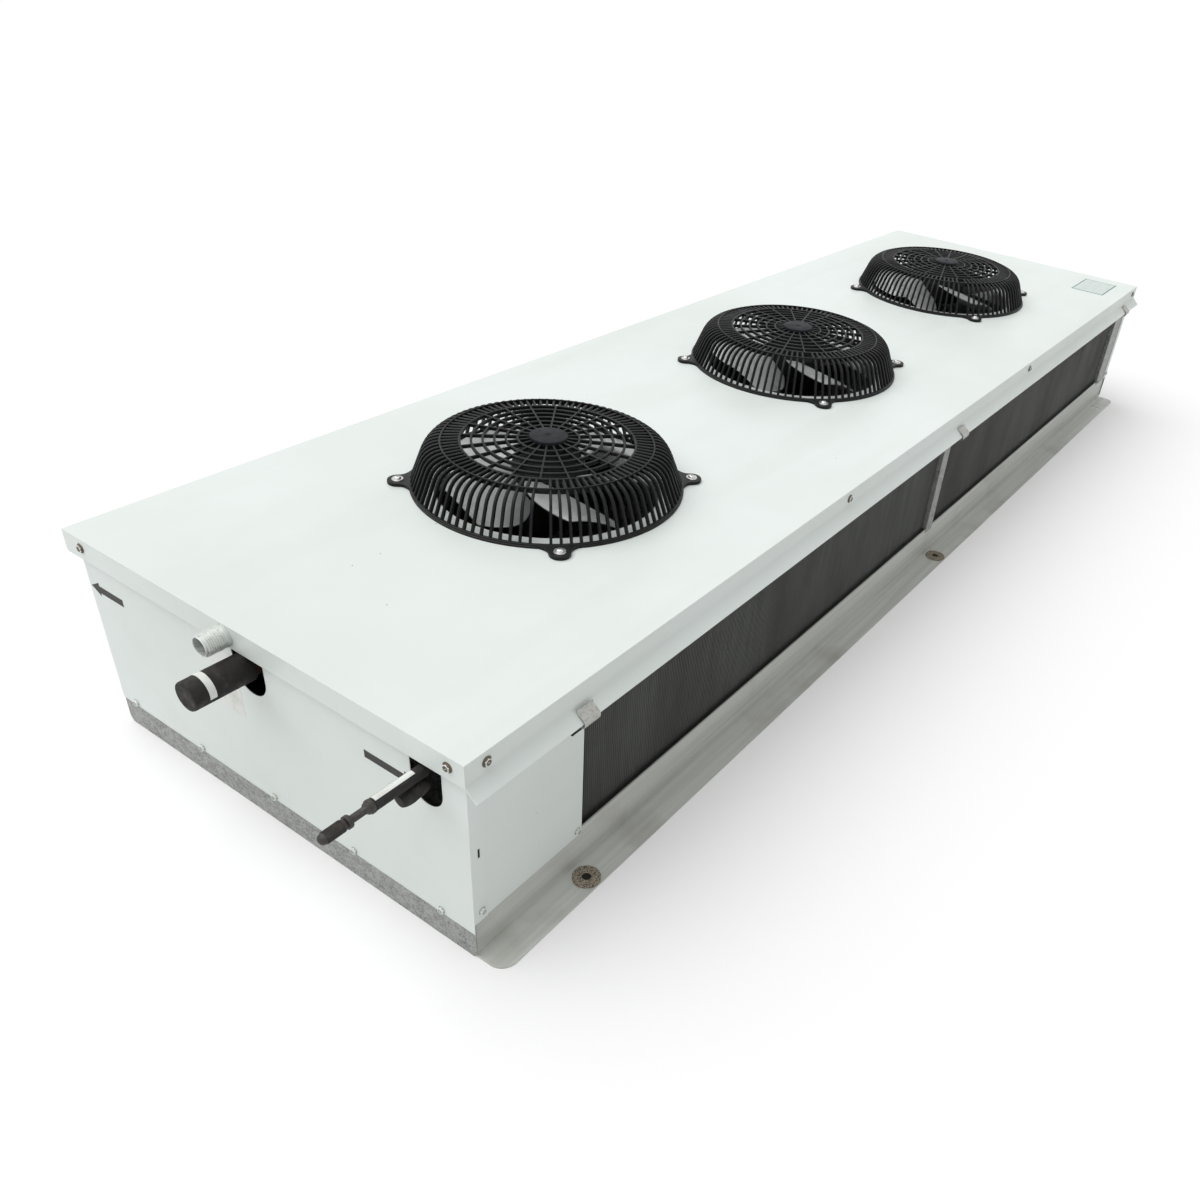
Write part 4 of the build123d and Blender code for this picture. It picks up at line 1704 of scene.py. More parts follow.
@dataclass
class FanDrive:
    """An outer-rotor motor with its sickle-bladed impeller."""

    number: int
    centre: Point
    finishes: Finishes
    trees: Trees
    stator_radius: float = 44 * MM
    stator_top: float = 52 * MM
    stator_height: float = 22 * MM
    rotor_radius: float = 50 * MM
    rotor_height: float = 44 * MM
    gap: float = 0.6 * MM
    can_sides: int = 72
    blade_count: int = 5
    blade_tip: float = 149 * MM
    blade_thickness: float = 1.8 * MM
    blade_sink: float = 3 * MM
    blade_grid: tuple[int, int] = (16, 14)
    chords: tuple[float, float, float] = (62 * MM, 124 * MM, 76 * MM)
    root_pitch: float = math.radians(30)
    tip_pitch: float = math.radians(18)
    sweep: float = math.radians(13.5)
    sweep_power: float = 0.86
    corner_start: float = 0.82
    corner_span: float = 0.18
    corner_cut: float = 0.12
    trailing_share: float = 0.35
    camber: float = 0.09
    turn: float = math.radians(14)

    def build(self) -> None:
        """Build the stator on the casing and the rotor on its own body."""
        stator = self.stator()
        stator.data.transform(Matrix.Translation(self.centre))
        seated(stator, CASING, "motor_black", f"motor_{self.number}")
        rotor, blades = self.rotor(), self.blades()
        for piece, slot in ((rotor, "motor_black"), (blades, "fan_metal")):
            piece.data.transform(Matrix.Translation(self.centre))
            seated(piece, f"fan_rotor_{self.number}", slot)
        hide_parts(f"impeller_{self.number}")

    def stator(self) -> Piece:
        """Build the motor's fixed half: a can with a stepped top.

        Returns:
            The stator.
        """
        r, top, low = self.stator_radius, self.stator_top, self.stator_top - self.stator_height
        can = [(0.0, low), (r, low), (r, top - 9 * MM), (r - 1.5 * MM, top - 7.5 * MM)]
        step = [(r - 4 * MM, top - 5 * MM), (r - 4.5 * MM, top - 1.5 * MM), (r - 6 * MM, top), (0.0, top)]
        return turned(f"fan_motor_{self.number}", can + step, self.finishes.motor, sides=self.can_sides)

    def rotor(self) -> Piece:
        """Build the turning can with its pressed steps.

        Returns:
            The can.
        """
        top = self.stator_top - self.stator_height - self.gap
        low, r = top - self.rotor_height, self.rotor_radius
        foot = [(0.0, low), (r - 12 * MM, low), (r - 5 * MM, low + 1.5 * MM), (r - 1.5 * MM, low + 5 * MM)]
        side = [(r, low + 9 * MM), (r, top - 2 * MM), (r - 1 * MM, top - 0.6 * MM)]
        lid = [(r - 2 * MM, top), (0.0, top)]
        name = f"fan_rotor_can_{self.number}"
        return turned(name, foot + side + lid, self.finishes.motor, sides=self.can_sides)

    def blade(self) -> Mesh:
        """Loft one sickle blade: pitched, cambered and swept, from the rotor to the tip circle.

        Returns:
            The blade's mesh, in the first blade's place but for the first angle.
        """
        across, along = self.blade_grid
        root, mid, tip = self.chords
        middle = self.stator_top - self.stator_height - self.gap - self.rotor_height / 2
        bm = bmesh.new()
        grid: list[list[Vert]] = []
        for j in range(along + 1):
            v = j / along
            radius = self.rotor_radius - self.blade_sink
            radius += (self.blade_tip - self.rotor_radius + self.blade_sink) * v
            chord = root * (1 - v) * (1 - 2 * v) + 4 * mid * v * (1 - v) + tip * v * (2 * v - 1)
            pitch = self.root_pitch + (self.tip_pitch - self.root_pitch) * v
            swept = self.sweep * v**self.sweep_power
            corner = max(0.0, v - self.corner_start) / self.corner_span
            row = []
            for i in range(across + 1):
                t = i / across - 0.5
                s = t * chord
                s *= 1 - self.corner_cut * corner**2 * (1 if t < 0 else self.trailing_share)
                phi = swept + s * math.cos(pitch) / radius
                lift = chord * self.camber * (1 - 4 * t * t)
                z = middle - s * math.sin(pitch) + lift
                row.append(bm.verts.new((radius * math.cos(phi), radius * math.sin(phi), z)))
            grid.append(row)
        for low, high in zip(grid, grid[1:]):
            for i in range(across):
                bm.faces.new((low[i], high[i], high[i + 1], low[i + 1]))
        piece = thickened(new_piece("blade", bm, self.finishes.blade), self.blade_thickness)
        mesh = piece.data.copy()
        bpy.data.objects.remove(piece)
        return mesh

    def blades(self) -> Piece:
        """Return all the blades of the impeller."""
        sizes = {"Count": self.blade_count, "First angle": self.turn, "Material": self.finishes.blade}
        return self.trees.copies.grow(f"fan_blades_{self.number}", self.blade(), sizes)


@dataclass
class Coil:
    """One finned coil with its rows of tubes."""

    side: str
    way: int
    layout: Layout
    finishes: Finishes
    trees: Trees
    pitch: float = 3.6 * MM
    thickness: float = 0.32 * MM
    wander: float = 1.2 * MM
    steps_up: int = 14
    tube_radius: float = 6 * MM
    tube_pitch: float = 32 * MM
    tube_sides: int = 12
    rows: int = 3
    stagger: float = 0.4
    end_play: float = MM
    tube_play: float = 0.5 * MM
    edge_strip: float = 12 * MM
    seeds: Flat = (4.0, 11.0)
    sharp_from: float = 60.0

    def build(self) -> None:
        """Build the fins and tubes in the fin block's place."""
        low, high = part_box(f"coil_fins_{self.side}")
        count = int((high.x - low.x - 2 * self.end_play) / self.pitch) + 1
        sizes = {
            "Count": count,
            "Pitch": self.pitch,
            "Wander": self.wander,
            "Seed": self.seeds[self.way > 0],
            "Material": self.finishes.fins,
        }
        fins = self.trees.fins.grow(f"fins_{self.side}", self.fin(low, high), sizes, self.sharp_from)
        fins.data.transform(Matrix.Translation((low.x + self.end_play, 0, 0)))
        seated(fins, CASING, "coil_fins", f"coil_fins_{self.side}")
        seated(self.tubes(low, high), CASING, "coil_fins")

    def fin(self, low: Vector, high: Vector) -> Mesh:
        """Return one fin: a thin plate, stepped along its height so that it can bend.

        Args:
            low: The fin block's lowest corner.
            high: The fin block's highest corner.

        Returns:
            The fin's mesh.
        """
        edge, inner = (high.y, low.y) if self.way > 0 else (low.y, high.y)
        near = edge - self.way * self.edge_strip
        half = self.thickness / 2
        ring = ((-half, edge), (half, edge), (half, near), (half, inner), (-half, inner), (-half, near))
        bm = bmesh.new()
        rows = []
        for i in range(self.steps_up + 1):
            z = low.z + (high.z - low.z) * i / self.steps_up
            rows.append([bm.verts.new((dx, y, z)) for dx, y in ring])
        lofted(bm, rows)
        mesh = bpy.data.meshes.new("fin")
        bm.to_mesh(mesh)
        bm.free()
        return mesh

    def tubes(self, low: Vector, high: Vector) -> Piece:
        """Build the tubes that run through the fins.

        Args:
            low: The fin block's lowest corner.
            high: The fin block's highest corner.

        Returns:
            The tubes, joined.
        """
        parts = []
        length = high.x - self.tube_play - (low.x + self.tube_play)
        profile = [(0.0, 0.0), (self.tube_radius, 0.0), (self.tube_radius, length), (0.0, length)]
        for row in range(self.rows):
            y = low.y + (row + 0.5) * (high.y - low.y) / self.rows
            for level in range(int((high.z - low.z) / self.tube_pitch)):
                z = low.z + self.tube_pitch * (level + 0.5 + (row % 2) * self.stagger)
                end = (high.x - self.tube_play, y, z)
                tube = turned("bar", profile, self.finishes.copper, end, Axis.NEAR, self.tube_sides)
                parts.append(tube)
        return joined(f"tubes_{self.side}", parts)


@dataclass(frozen=True)
class PaperBand:
    """A paper band laid part of the way round a pipe along X."""

    name: str
    start: float
    width: float
    lift: float
    first: int
    last: int
    sunk: float = 0.05 * MM
    steps: int = 24

    def build(self, near: float, axis: Flat, radius: float, material: Material) -> Piece:
        """Wrap the band round its pipe.

        Args:
            near: The near end that its start is measured from.
            axis: The pipe's axis across and up.
            radius: The pipe's radius.
            material: Its finish.

        Returns:
            The band.
        """
        bm = bmesh.new()
        rows = []
        low, high = radius - self.sunk, radius + self.lift
        start, end = near + self.start, near + self.start + self.width
        for i in range(self.steps + 1):
            turn = math.radians(self.first + (self.last - self.first) * i / self.steps)
            section = ((start, low), (end, low), (end, high), (start, high))
            ring = [(x, axis[0] + r * math.cos(turn), axis[1] + r * math.sin(turn)) for x, r in section]
            rows.append([bm.verts.new(corner) for corner in ring])
        lofted(bm, rows)
        return new_piece(self.name, bm, material)


@dataclass
class Connections:
    """Suction and liquid pipes with their caps, sleeve, valve and labels, and the drain stub."""

    layout: Layout
    finishes: Finishes
    trees: Trees
    suction_wall: float = 3.3 * MM
    suction_band: PaperBand = PaperBand("suction_band", 17 * MM, 8 * MM, 0.35 * MM, 14, 196)
    liquid_bore: float = 5.05 * MM
    liquid_strip: PaperBand = PaperBand("liquid_strip", 2 * MM, 48 * MM, 0.3 * MM, 62, 118)
    pipe_sides: int = 40
    grommet_steps: int = 14
    valve_tube: float = 4 * MM
    nut_radius: float = 6.9 * MM
    cap_skin: float = 0.7 * MM
    cap_sides: int = 48
    knurl_width: float = 0.8 * MM
    knurl_depth: float = 1.3 * MM
    knurl_count: int = 26
    drain_bore: float = 10.5 * MM
    thread_cut: float = 1.0 * MM
    thread_depth: float = 1.3 * MM
    thread_turns: float = 8.0
    thread_start: float = 6.8 * MM
    thread_ends: float = 9 * MM
    thread_sharp_from: float = 20.0

    def build(self) -> None:
        """Build every connection."""
        self.suction()
        self.liquid()
        self.grommet()
        self.valve()
        self.drain()

    def axis_of(self, node: str) -> tuple[Vector, Vector, float, float, float]:
        """Return a round node's box corners, its axis's y and z and its radius."""
        low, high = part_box(node)
        return low, high, (low.y + high.y) / 2, (low.z + high.z) / 2, (high.z - low.z) / 2

    def suction(self) -> None:
        """Build the suction pipe inside and its black cap outside with a white band."""
        source = self.layout.node("suction_line")
        pipe = softened_copy(source, "suction_pipe", self.finishes.copper, Edge.CUT)
        seated(pipe, CASING, "copper_pipe", "suction_line")
        low, high, y, z, r = self.axis_of("suction_cap")
        length, wall = high.x - low.x, self.suction_wall
        skirt = [(r - wall, 0.0), (r - 0.5 * MM, 0.0), (r, 0.8 * MM)]
        edge = [(r, length - 2.2 * MM), (r - 0.7 * MM, length - 0.6 * MM), (r - 2.2 * MM, length)]
        face = [(r - 6 * MM, length - 0.5 * MM), (0.0, length - 0.9 * MM)]
        inside = [(0.0, length - wall), (r - wall, length - wall)]
        profile = skirt + edge + face + inside
        cap = turned("suction_end_cap", profile, self.finishes.rubber, (high.x, y, z), Axis.NEAR)
        seated(cap, CASING, "black_rubber", "suction_cap")
        band = self.suction_band.build(low.x, (y, z), r, self.finishes.label)
        seated(band, CASING, "black_rubber")

    def liquid(self) -> None:
        """Build the liquid pipe's sleeve and the label strip along it."""
        finishes = self.layout.node("liquid_line").data.materials
        finishes.clear()
        finishes.append(self.finishes.copper)
        low, high, y, z, r = self.axis_of("liquid_sleeve")
        length, bore = high.x - low.x, self.liquid_bore
        root = [(bore, 0.0), (r - 0.4 * MM, 0.0), (r, 0.5 * MM)]
        end = [(r, length - 0.8 * MM), (r - 0.8 * MM, length), (bore, length)]
        sleeve = self.laid("liquid_pipe_sleeve", root + end, self.finishes.sleeve, (high.x, y, z))
        seated(sleeve, CASING, "black_rubber", "liquid_sleeve")
        strip = self.liquid_strip.build(low.x, (y, z), r, self.finishes.label)
        seated(strip, CASING, "black_rubber")

    def laid(self, name: str, profile: Sequence[Flat], material: Material, place: Point) -> Piece:
        """Turn an outline round a thin pipe's axis.

        Args:
            name: The piece's name.
            profile: (radius, height) points, with heights outwards from the casing.
            material: Its finish.
            place: Where the pipe leaves the casing.

        Returns:
            The piece.
        """
        return turned(name, profile, material, place, Axis.NEAR, self.pipe_sides)

    def grommet(self) -> None:
        """Build the torn rubber piece that lies under the sleeve."""
        low, high, y, z, r = self.axis_of("liquid_grommet")
        length = high.x - low.x
        profile: list[Flat] = [(0.0, 0.0)]
        for i in range(self.grommet_steps + 1):
            t = i / self.grommet_steps
            swell = 0.62 + 0.36 * math.sin(math.pi * t) ** 0.7
            profile.append((r * min(swell, 0.99), length * t))
        profile.append((0.0, length))
        piece = self.laid("rubber_grommet", profile, self.finishes.sleeve, (high.x, y, z))
        centre = Vector(((low.x + high.x) / 2, y, z))
        for vertex in piece.data.vertices:
            away = vertex.co - centre
            wave = 0.5 + 0.5 * math.sin(away.x / (7 * MM) + 2.1 * math.atan2(away.z, away.y))
            share = 1 - 0.2 * wave
            vertex.co.y = y + away.y * share
            vertex.co.z = z + away.z * share
        seated(piece, CASING, "black_rubber", "liquid_grommet")

    def valve(self) -> None:
        """Build the brazed collar, the service tube with its nut and the knurled cap."""
        low, high, y, z, r = self.axis_of("access_valve")
        cap_low, cap_high, _, _, cap_r = self.axis_of("valve_cap")
        tube, nut, length, reach = self.valve_tube, self.nut_radius, high.x - low.x, high.x - cap_high.x
        collar = [(0.0, 0.0), (r - 0.4 * MM, 0.0), (r, 0.6 * MM), (r, 4 * MM), (r - 1.2 * MM, 5 * MM)]
        neck = [(6.2 * MM, 6.6 * MM), (5.2 * MM, 7.4 * MM), (tube + 0.3 * MM, 9 * MM), (tube, 10 * MM)]
        hexagon = [
            (tube, reach - 6 * MM),
            (6.4 * MM, reach - 5.4 * MM),
            (nut, reach - 4.6 * MM),
            (nut, reach - 0.8 * MM),
            (tube, reach - 0.4 * MM),
        ]
        profile = collar + neck + hexagon + [(tube, length), (0.0, length)]
        valve = self.laid("service_valve", profile, self.finishes.fitting, (high.x, y, z))
        seated(valve, CASING, "black_fitting", "access_valve")
        cap = self.knurled_cap(cap_high.x - cap_low.x, cap_r - self.cap_skin)
        self.lay_near(cap, (cap_high.x, y, z))
        seated(cap, CASING, "black_fitting", "valve_cap")

    def knurled_cap(self, reach: float, skin: float) -> Piece:
        """Build the valve's cap with its ridges, standing on the origin.

        Args:
            reach: Its length.
            skin: Its radius between the ridges.

        Returns:
            The cap.
        """
        bore, floor = self.valve_tube + 0.05 * MM, reach - 4 * MM
        root = [(bore, 0.0), (skin - 1.4 * MM, 0.0), (skin - 0.2 * MM, 1.2 * MM), (skin, 2.6 * MM)]
        side = [(skin, reach - 5 * MM), (skin - 0.9 * MM, reach - 2.2 * MM)]
        end = [(skin - 2.6 * MM, reach - 0.6 * MM), (skin - 4.2 * MM, reach), (0.0, reach)]
        inside = [(0.0, floor), (bore, floor)]
        profile = root + side + end + inside
        body = turned("cap_body", profile, self.finishes.fitting, sides=self.cap_sides)
        guide = [(skin, 3.2 * MM), (skin + 0.01 * MM, reach - 6 * MM)]
        sizes = bar_inputs(self.knurl_width, self.knurl_depth, self.knurl_count, self.finishes.fitting)
        knurl = self.trees.bars.grow("knurl", guide_line("ridge", guide), sizes)
        return joined("knurled_cap", [body, knurl])

    def lay_near(self, piece: Piece, place: Point) -> None:
        """Lay a standing piece along -X and move its foot to a place."""
        piece.data.transform(TO_NEAR)
        piece.data.transform(Matrix.Translation(place))

    def drain(self) -> None:
        """Build the drain stub: an open pipe with a wound thread and a plain root."""
        low, high, y, z, r = self.axis_of("drain_stub")
        length, bore, core = high.x - low.x, self.drain_bore, r - self.thread_cut
        root = [(bore, 0.0), (r - 0.2 * MM, 0.0), (r, 0.6 * MM), (r, 5 * MM), (core, 6.2 * MM)]
        side = [(core, length - 0.8 * MM), (core - 0.7 * MM, length)]
        mouth = [(bore + 0.4 * MM, length), (bore, length - 0.5 * MM)]
        body = turned("stub", root + side + mouth, self.finishes.zinc)
        sizes = {
            "Radius": core - 0.1 * MM,
            "Turns": self.thread_turns,
            "Length": length - self.thread_ends,
            "Depth": self.thread_depth,
            "Material": self.finishes.zinc,
        }
        base = bpy.data.meshes.new("thread")
        thread = self.trees.thread.grow("thread", base, sizes, self.thread_sharp_from)
        thread.data.transform(Matrix.Translation((0, 0, self.thread_start)))
        stub = joined("drain_pipe", [body, thread])
        self.lay_near(stub, (high.x, y, z))
        seated(stub, CASING, "zinc_stub", "drain_stub")


@dataclass
class SmallParts:
    """Tray clips, hanger washers, flow arrows, blank labels and the blank data plate."""

    layout: Layout
    finishes: Finishes
    clip_width: float = 26 * MM
    clip_thickness: float = 1.1 * MM
    clip_edge: float = 0.3 * MM
    clip_sharp_from: float = 80.0
    washer_bore: float = 5 * MM
    washer_sides: int = 56
    ragged_from: float = 0.8
    ragged_share: float = 0.02
    # Size of the dark plug painted as shade in each washer's stud hole.
    hole_shade_radius: float = 5.6 * MM
    hole_shade_share: float = 0.6
    hole_shade_sides: int = 24
    skin: float = 0.2 * MM
    arrow_ends: tuple[tuple[str, float, float], ...] = (
        ("left", 246 * MM, 310 * MM),
        ("right", -169 * MM, -245 * MM),
    )
    arrow_row: float = 212 * MM
    arrow_head: float = 17 * MM
    arrow_half: float = 5.0 * MM
    arrow_wing: float = 9.4 * MM
    label_low: Flat = (34 * MM, 150 * MM)
    label_high: Flat = (80 * MM, 236 * MM)
    plate_low: Flat = (986 * MM, -279 * MM)
    plate_high: Flat = (1104 * MM, -203 * MM)
    plate_border: float = 3 * MM
    slot_xs: Flat = (10 * MM, 12.6 * MM)
    slot_zs: Flat = (147 * MM, 159 * MM)
    rod_start: float = 153 * MM
    rod_length: float = 21 * MM
    rod_out: float = 2.4 * MM
    rod_sunk: float = 0.2 * MM
    rod_zs: Flat = (214.5 * MM, 218.5 * MM)

    def build(self) -> None:
        """Build the small parts."""
        self.clips()
        self.washers()
        self.arrows()
        self.blank_labels()
        self.slot_shade_and_rod()

    def clips(self) -> None:
        """Fold a clip round each drip edge in line with the hangers."""
        low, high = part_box("tray_clips")
        middle = (low.x + high.x) / 2
        spots = (low.x + self.clip_width / 2, middle, high.x - self.clip_width / 2)
        sides = ((-1, low.y), (1, high.y))
        parts = [self.clip(x, way, outer, low.z, high.z) for way, outer in sides for x in spots]
        seated(joined("drip_edge_clips", parts), CASING, "clip_steel", "tray_clips")

    def clip(self, x: float, way: int, outer: float, low: float, high: float) -> Piece:
        """Return one clip: a strip that lies on the lip, rounds the drip edge and hooks under it.

        Args:
            x: Its middle along the cooler.
            way: The side that it faces.
            outer: The outermost face's y.
            low: Its lowest point.
            high: Its highest point.

        Returns:
            The clip.
        """
        top = [(-10.9 * MM, high + 4 * MM), (-10.7 * MM, high + 1.6 * MM), (-9.6 * MM, high - 0.4 * MM)]
        bend = [(-2.0 * MM, high - 5.4 * MM), (-0.2 * MM, high - 7.6 * MM), (0.2 * MM, high - 10.5 * MM)]
        hook = [(-0.6 * MM, low + 0.2 * MM), (-3.0 * MM, low - 1.6 * MM), (-8 * MM, low - 0.6 * MM)]
        line = top + bend + hook
        bm = bmesh.new()
        rows = []
        for dx in (-self.clip_width / 2, self.clip_width / 2):
            rows.append([bm.verts.new((x + dx, outer + way * dy, z)) for dy, z in line])
        for i in range(len(line) - 1):
            bm.faces.new((rows[0][i], rows[0][i + 1], rows[1][i + 1], rows[1][i]))
        bmesh.ops.recalc_face_normals(bm, faces=bm.faces)
        strip = new_piece("clip", bm, self.finishes.clip, self.clip_sharp_from)
        return rounded(thickened(strip, self.clip_thickness), self.clip_edge, 1)

    def washers(self) -> None:
        """Build the fibre washers with ragged edges, each with a dark plug in its bore as painted shade in
        the stud hole.
        """
        low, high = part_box("hanger_washers")
        radius, height, y = (high.y - low.y) / 2, high.z - low.z, (low.y + high.y) / 2
        r, top = self.hole_shade_radius, height * self.hole_shade_share
        # A dark plug below the washer's face is painted shade for each stud hole, not a part.
        stud = [(0.0, 0.0), (r, 0.0), (r, top), (0.0, top)]
        parts = []
        for x in (low.x + radius, high.x - radius):
            parts.append(self.washer((x, y, low.z), height, radius))
            parts.append(turned("stud", stud, self.finishes.motor, (x, y, low.z), sides=self.hole_shade_sides))
        seated(joined("fibre_washers", parts), CASING, "fibre_washer", "hanger_washers")

    def washer(self, place: Point, height: float, radius: float) -> Piece:
        """Build one washer and fray its edge.

        Args:
            place: The middle of its underside.
            height: Its thickness.
            radius: Its outer radius.

        Returns:
            The washer.
        """
        x, y, _ = place
        bore = self.washer_bore
        foot = [(bore, 0.0), (radius - 0.8 * MM, 0.0)]
        edge = [(radius - 0.2 * MM, height * 0.4), (radius - 0.7 * MM, height * 0.85)]
        face = [(radius - 2.5 * MM, height), (bore + 2.2 * MM, height), (bore + 0.6 * MM, height * 0.7)]
        profile = foot + edge + face
        piece = turned("washer", profile, self.finishes.fibre, place, sides=self.washer_sides)
        for vertex in piece.data.vertices:
            away = Vector((vertex.co.x - x, vertex.co.y - y))
            turn = math.atan2(away.y, away.x)
            if away.length > radius * self.ragged_from:
                share = 1 - self.ragged_share * (1 + math.sin(7 * turn + 40 * x) * math.cos(3 * turn))
                vertex.co.x, vertex.co.y = x + away.x * share, y + away.y * share
        return piece

    def on_end(self, points: Sequence[Flat], name: str, material: Material, lift: float = 0.0) -> Piece:
        """Return a thin shape stuck on the connection end panel.

        Args:
            points: (y, z) corners.
            name: The piece's name.
            material: Its finish.
            lift: How far off the panel it starts.

        Returns:
            The piece.
        """
        outline = [(self.layout.near - lift, y, z) for y, z in points]
        return plate(name, outline, Vector((-self.skin, 0, 0)), material)

    def arrows(self) -> None:
        """Build the two plain flow arrows."""
        z, half, wing = self.arrow_row, self.arrow_half, self.arrow_wing
        for name, tail, tip in self.arrow_ends:
            neck = tip - math.copysign(self.arrow_head, tip - tail)
            lower = [(tail, z - half), (neck, z - half), (neck, z - wing)]
            upper = [(neck, z + wing), (neck, z + half), (tail, z + half)]
            arrow = self.on_end(lower + [(tip, z)] + upper, f"flow_arrow_{name}", self.finishes.ink)
            seated(arrow, CASING, "casing_paint")

    def blank_labels(self) -> None:
        """Build the blank label beside the suction pipe and the blank data plate on the tray."""
        (y0, z0), (y1, z1) = self.label_low, self.label_high
        points = [(y0, z0), (y1, z0), (y1, z1), (y0, z1)]
        seated(self.on_end(points, "blank_label", self.finishes.label), CASING, "casing_paint")
        edge = ("data_plate_edge", 0.0, self.finishes.plate_line, 0.0)
        face = ("data_plate", self.plate_border, self.finishes.plate, self.skin)
        for name, inset, material, lift in (edge, face):
            low = (self.plate_low[0] + inset, self.plate_low[1] + inset)
            high = (self.plate_high[0] - inset, self.plate_high[1] - inset)
            outline = flat_box(low, high, self.layout.top + lift)
            seated(plate(name, outline, Vector((0, 0, self.skin)), material), CASING, "casing_paint")

    def slot_shade_and_rod(self) -> None:
        """Build a dark patch painted as the shade inside the slot in the near front cover, and the dark rod
        that shows in the cover.
        """
        dark, near, side = self.finishes.motor, self.layout.near, self.layout.side
        (x0, x1), (z0, z1) = self.slot_xs, self.slot_zs
        # The slot block is painted shade: a thin dark patch on the cover where the slot opening falls into
        # shadow.
        slot = block("slot", (near + x0, -side - self.skin, z0), (near + x1, -side, z1), dark)
        face, start = side - self.layout.sheet, near + self.rod_start
        low = (start, -face - self.rod_out, self.rod_zs[0])
        high = (start + self.rod_length, -face + self.rod_sunk, self.rod_zs[1])
        seated(joined("cover_slots", [slot, block("rod", low, high, dark)]), CASING, "motor_black")


# ---------------------------------------------------------------------------------------
# Stage
# ---------------------------------------------------------------------------------------


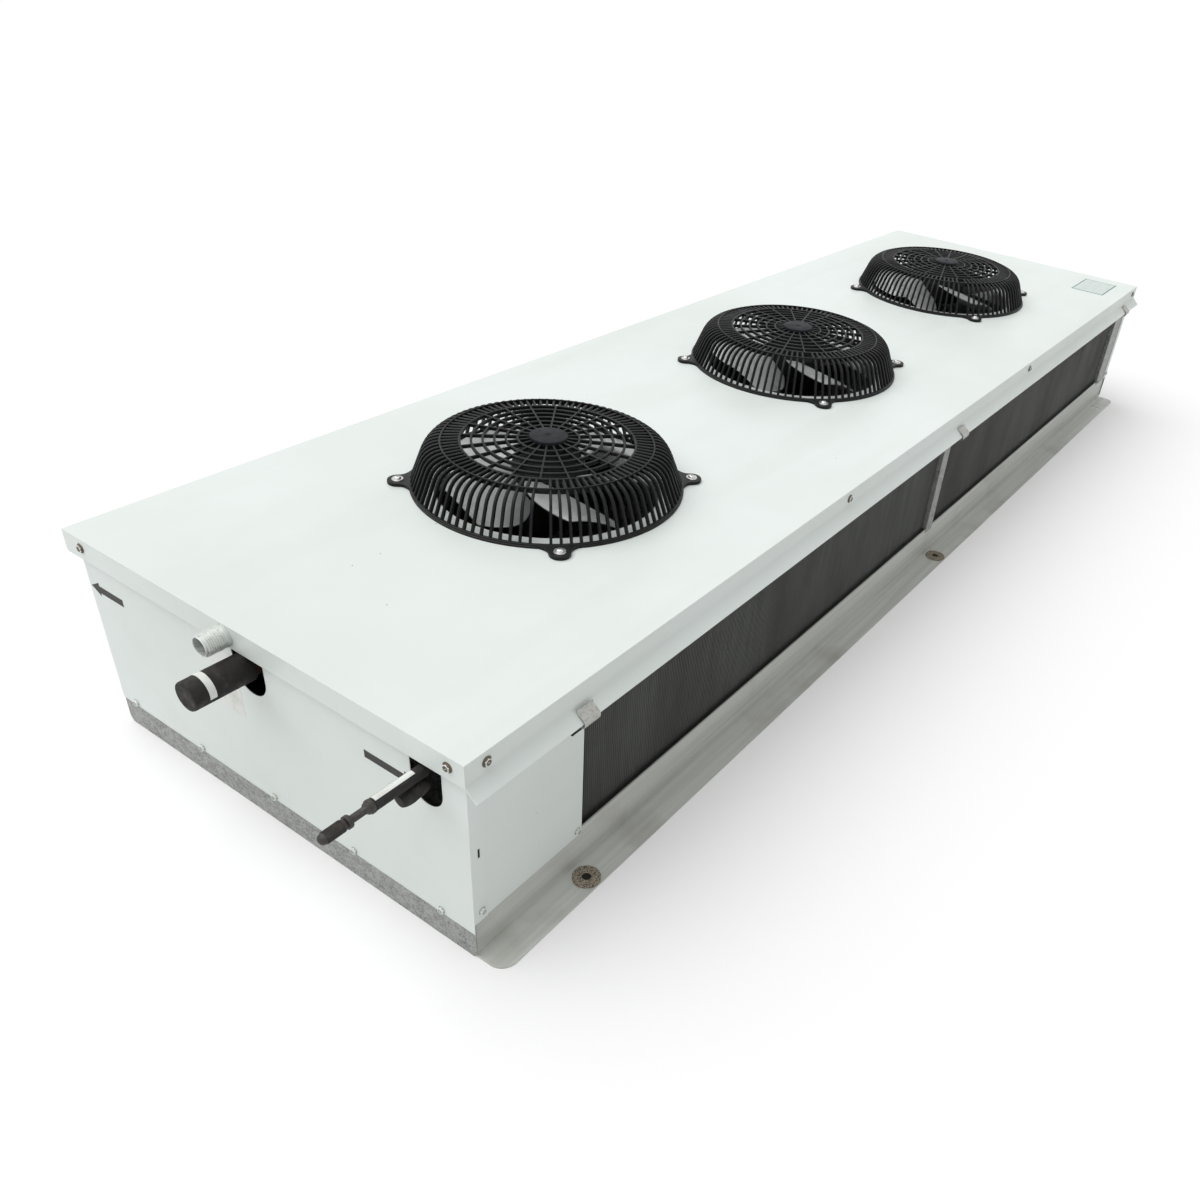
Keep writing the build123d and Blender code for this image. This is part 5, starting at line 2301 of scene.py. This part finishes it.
@dataclass
class Studio:
    """The floor, the soft lamps, the pale surroundings and the camera."""

    floor_half: float = 90.0
    floor_depth: float = 0.02
    floor_gap: float = 0.0002
    floor_shade: float = 0.84
    floor_lift: float = 0.13
    ambient: float = 0.42
    key_strength: float = 2.2
    key_spread: float = math.radians(70)
    key_from: Point = (-0.8, 1.0, 2.9)
    camera_place: Point = (-1.6410, -0.8508, 0.9288)
    camera_forward: Point = (0.69764, 0.41874, -0.58134)
    camera_right: Point = (0.56379, -0.82155, 0.08481)
    lens: float = 31.08
    sensor: float = 36.0
    view_reach: float = 100.0
    shift: Flat = (-0.0813, 0.0496)

    def build(self) -> None:
        """Set the stage."""
        self.floor()
        self.world()
        self.key()
        self.camera()
        bpy.context.scene.view_settings.view_transform = "Standard"

    def camera_rays(self, tree: bpy.types.NodeTree) -> Socket:
        """Tell what the camera, a reflection or a transmission sees (1) from all else (0).

        Args:
            tree: The node tree that it is added to.

        Returns:
            The switch's socket.
        """
        path = tree.nodes.new("ShaderNodeLightPath")
        total = path.outputs["Is Camera Ray"]
        for name in ("Is Glossy Ray", "Is Transmission Ray"):
            most = tree.nodes.new("ShaderNodeMath")
            most.operation = "MAXIMUM"
            tree.links.new(total, most.inputs[0])
            tree.links.new(path.outputs[name], most.inputs[1])
            total = most.outputs[0]
        return total

    def floor(self) -> None:
        """Lay a plain pale floor that keeps the cooler's shadow."""
        half = self.floor_half
        low, high = (-half, -half, -self.floor_depth), (half, half, -self.floor_gap)
        block("floor", low, high, self.floor_material())

    def floor_material(self) -> Material:
        """Mix the floor: matt, and lifted to white where only the camera looks.

        Returns:
            The material.
        """
        material = bpy.data.materials.new("studio_floor")
        material.use_nodes = True
        tree = material.node_tree
        shader = tree.nodes["Principled BSDF"]
        shader.inputs["Base Color"].default_value = (*[self.floor_shade] * 3, 1.0)
        shader.inputs["Roughness"].default_value = 0.95
        shader.inputs["Specular IOR Level"].default_value = 0.0
        lift = tree.nodes.new("ShaderNodeMath")
        lift.operation = "MULTIPLY"
        tree.links.new(self.camera_rays(tree), lift.inputs[0])
        lift.inputs[1].default_value = self.floor_lift
        glow = tree.nodes.new("ShaderNodeEmission")
        tree.links.new(lift.outputs[0], glow.inputs["Strength"])
        both = tree.nodes.new("ShaderNodeAddShader")
        tree.links.new(shader.outputs[0], both.inputs[0])
        tree.links.new(glow.outputs[0], both.inputs[1])
        tree.links.new(both.outputs[0], tree.nodes["Material Output"].inputs["Surface"])
        return material

    def world(self) -> None:
        """Set even ambient light with a white backdrop for the camera and for reflections."""
        world = bpy.data.worlds.new("studio")
        bpy.context.scene.world = world
        world.use_nodes = True
        tree = world.node_tree
        background = tree.nodes["Background"]
        background.inputs["Color"].default_value = (1.0, 1.0, 1.0, 1.0)
        strength = tree.nodes.new("ShaderNodeMapRange")
        strength.inputs["To Min"].default_value = self.ambient
        strength.inputs["To Max"].default_value = 1.0
        tree.links.new(self.camera_rays(tree), strength.inputs["Value"])
        tree.links.new(strength.outputs["Result"], background.inputs["Strength"])

    def key(self) -> None:
        """Hang one broad, very soft lamp that lights the whole floor alike."""
        data = bpy.data.lights.new("key", "SUN")
        data.energy = self.key_strength
        data.angle = self.key_spread
        lamp = bpy.data.objects.new("key", data)
        lamp.rotation_euler = (-Vector(self.key_from)).to_track_quat("-Z", "Y").to_euler()
        bpy.context.scene.collection.objects.link(lamp)

    def camera(self) -> None:
        """Set the camera at the near front corner, above the cooler."""
        data = bpy.data.cameras.new("camera")
        data.lens = self.lens
        data.sensor_width = self.sensor
        data.shift_x, data.shift_y = self.shift
        data.clip_end = self.view_reach
        camera = bpy.data.objects.new("camera", data)
        right = Vector(self.camera_right).normalized()
        forward = Vector(self.camera_forward).normalized()
        up = right.cross(forward)
        axes = Matrix((right, up, -forward)).transposed().to_4x4()
        camera.matrix_world = Matrix.Translation(self.camera_place) @ axes
        bpy.context.scene.collection.objects.link(camera)
        bpy.context.scene.camera = camera


def main() -> None:
    """Build the cooler in order, then the stage."""
    logging.basicConfig(level=logging.INFO, format="%(name)s: %(message)s")
    for item in list(bpy.data.objects):
        bpy.data.objects.remove(item)
    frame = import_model()
    layout, finishes, trees = Layout(frame), Finishes(), Trees()
    SheetWork(layout, finishes).build()
    Screws(layout, finishes, trees).build()
    for number, centre in enumerate(layout.fans, start=1):
        FanGuard(number, centre, finishes, trees).build()
        FanDrive(number, centre, finishes, trees).build()
    for side, way in (("front", -1), ("back", 1)):
        Coil(side, way, layout, finishes, trees).build()
    Connections(layout, finishes, trees).build()
    SmallParts(layout, finishes).build()
    Studio().build()


if __name__ == "__main__":
    main()
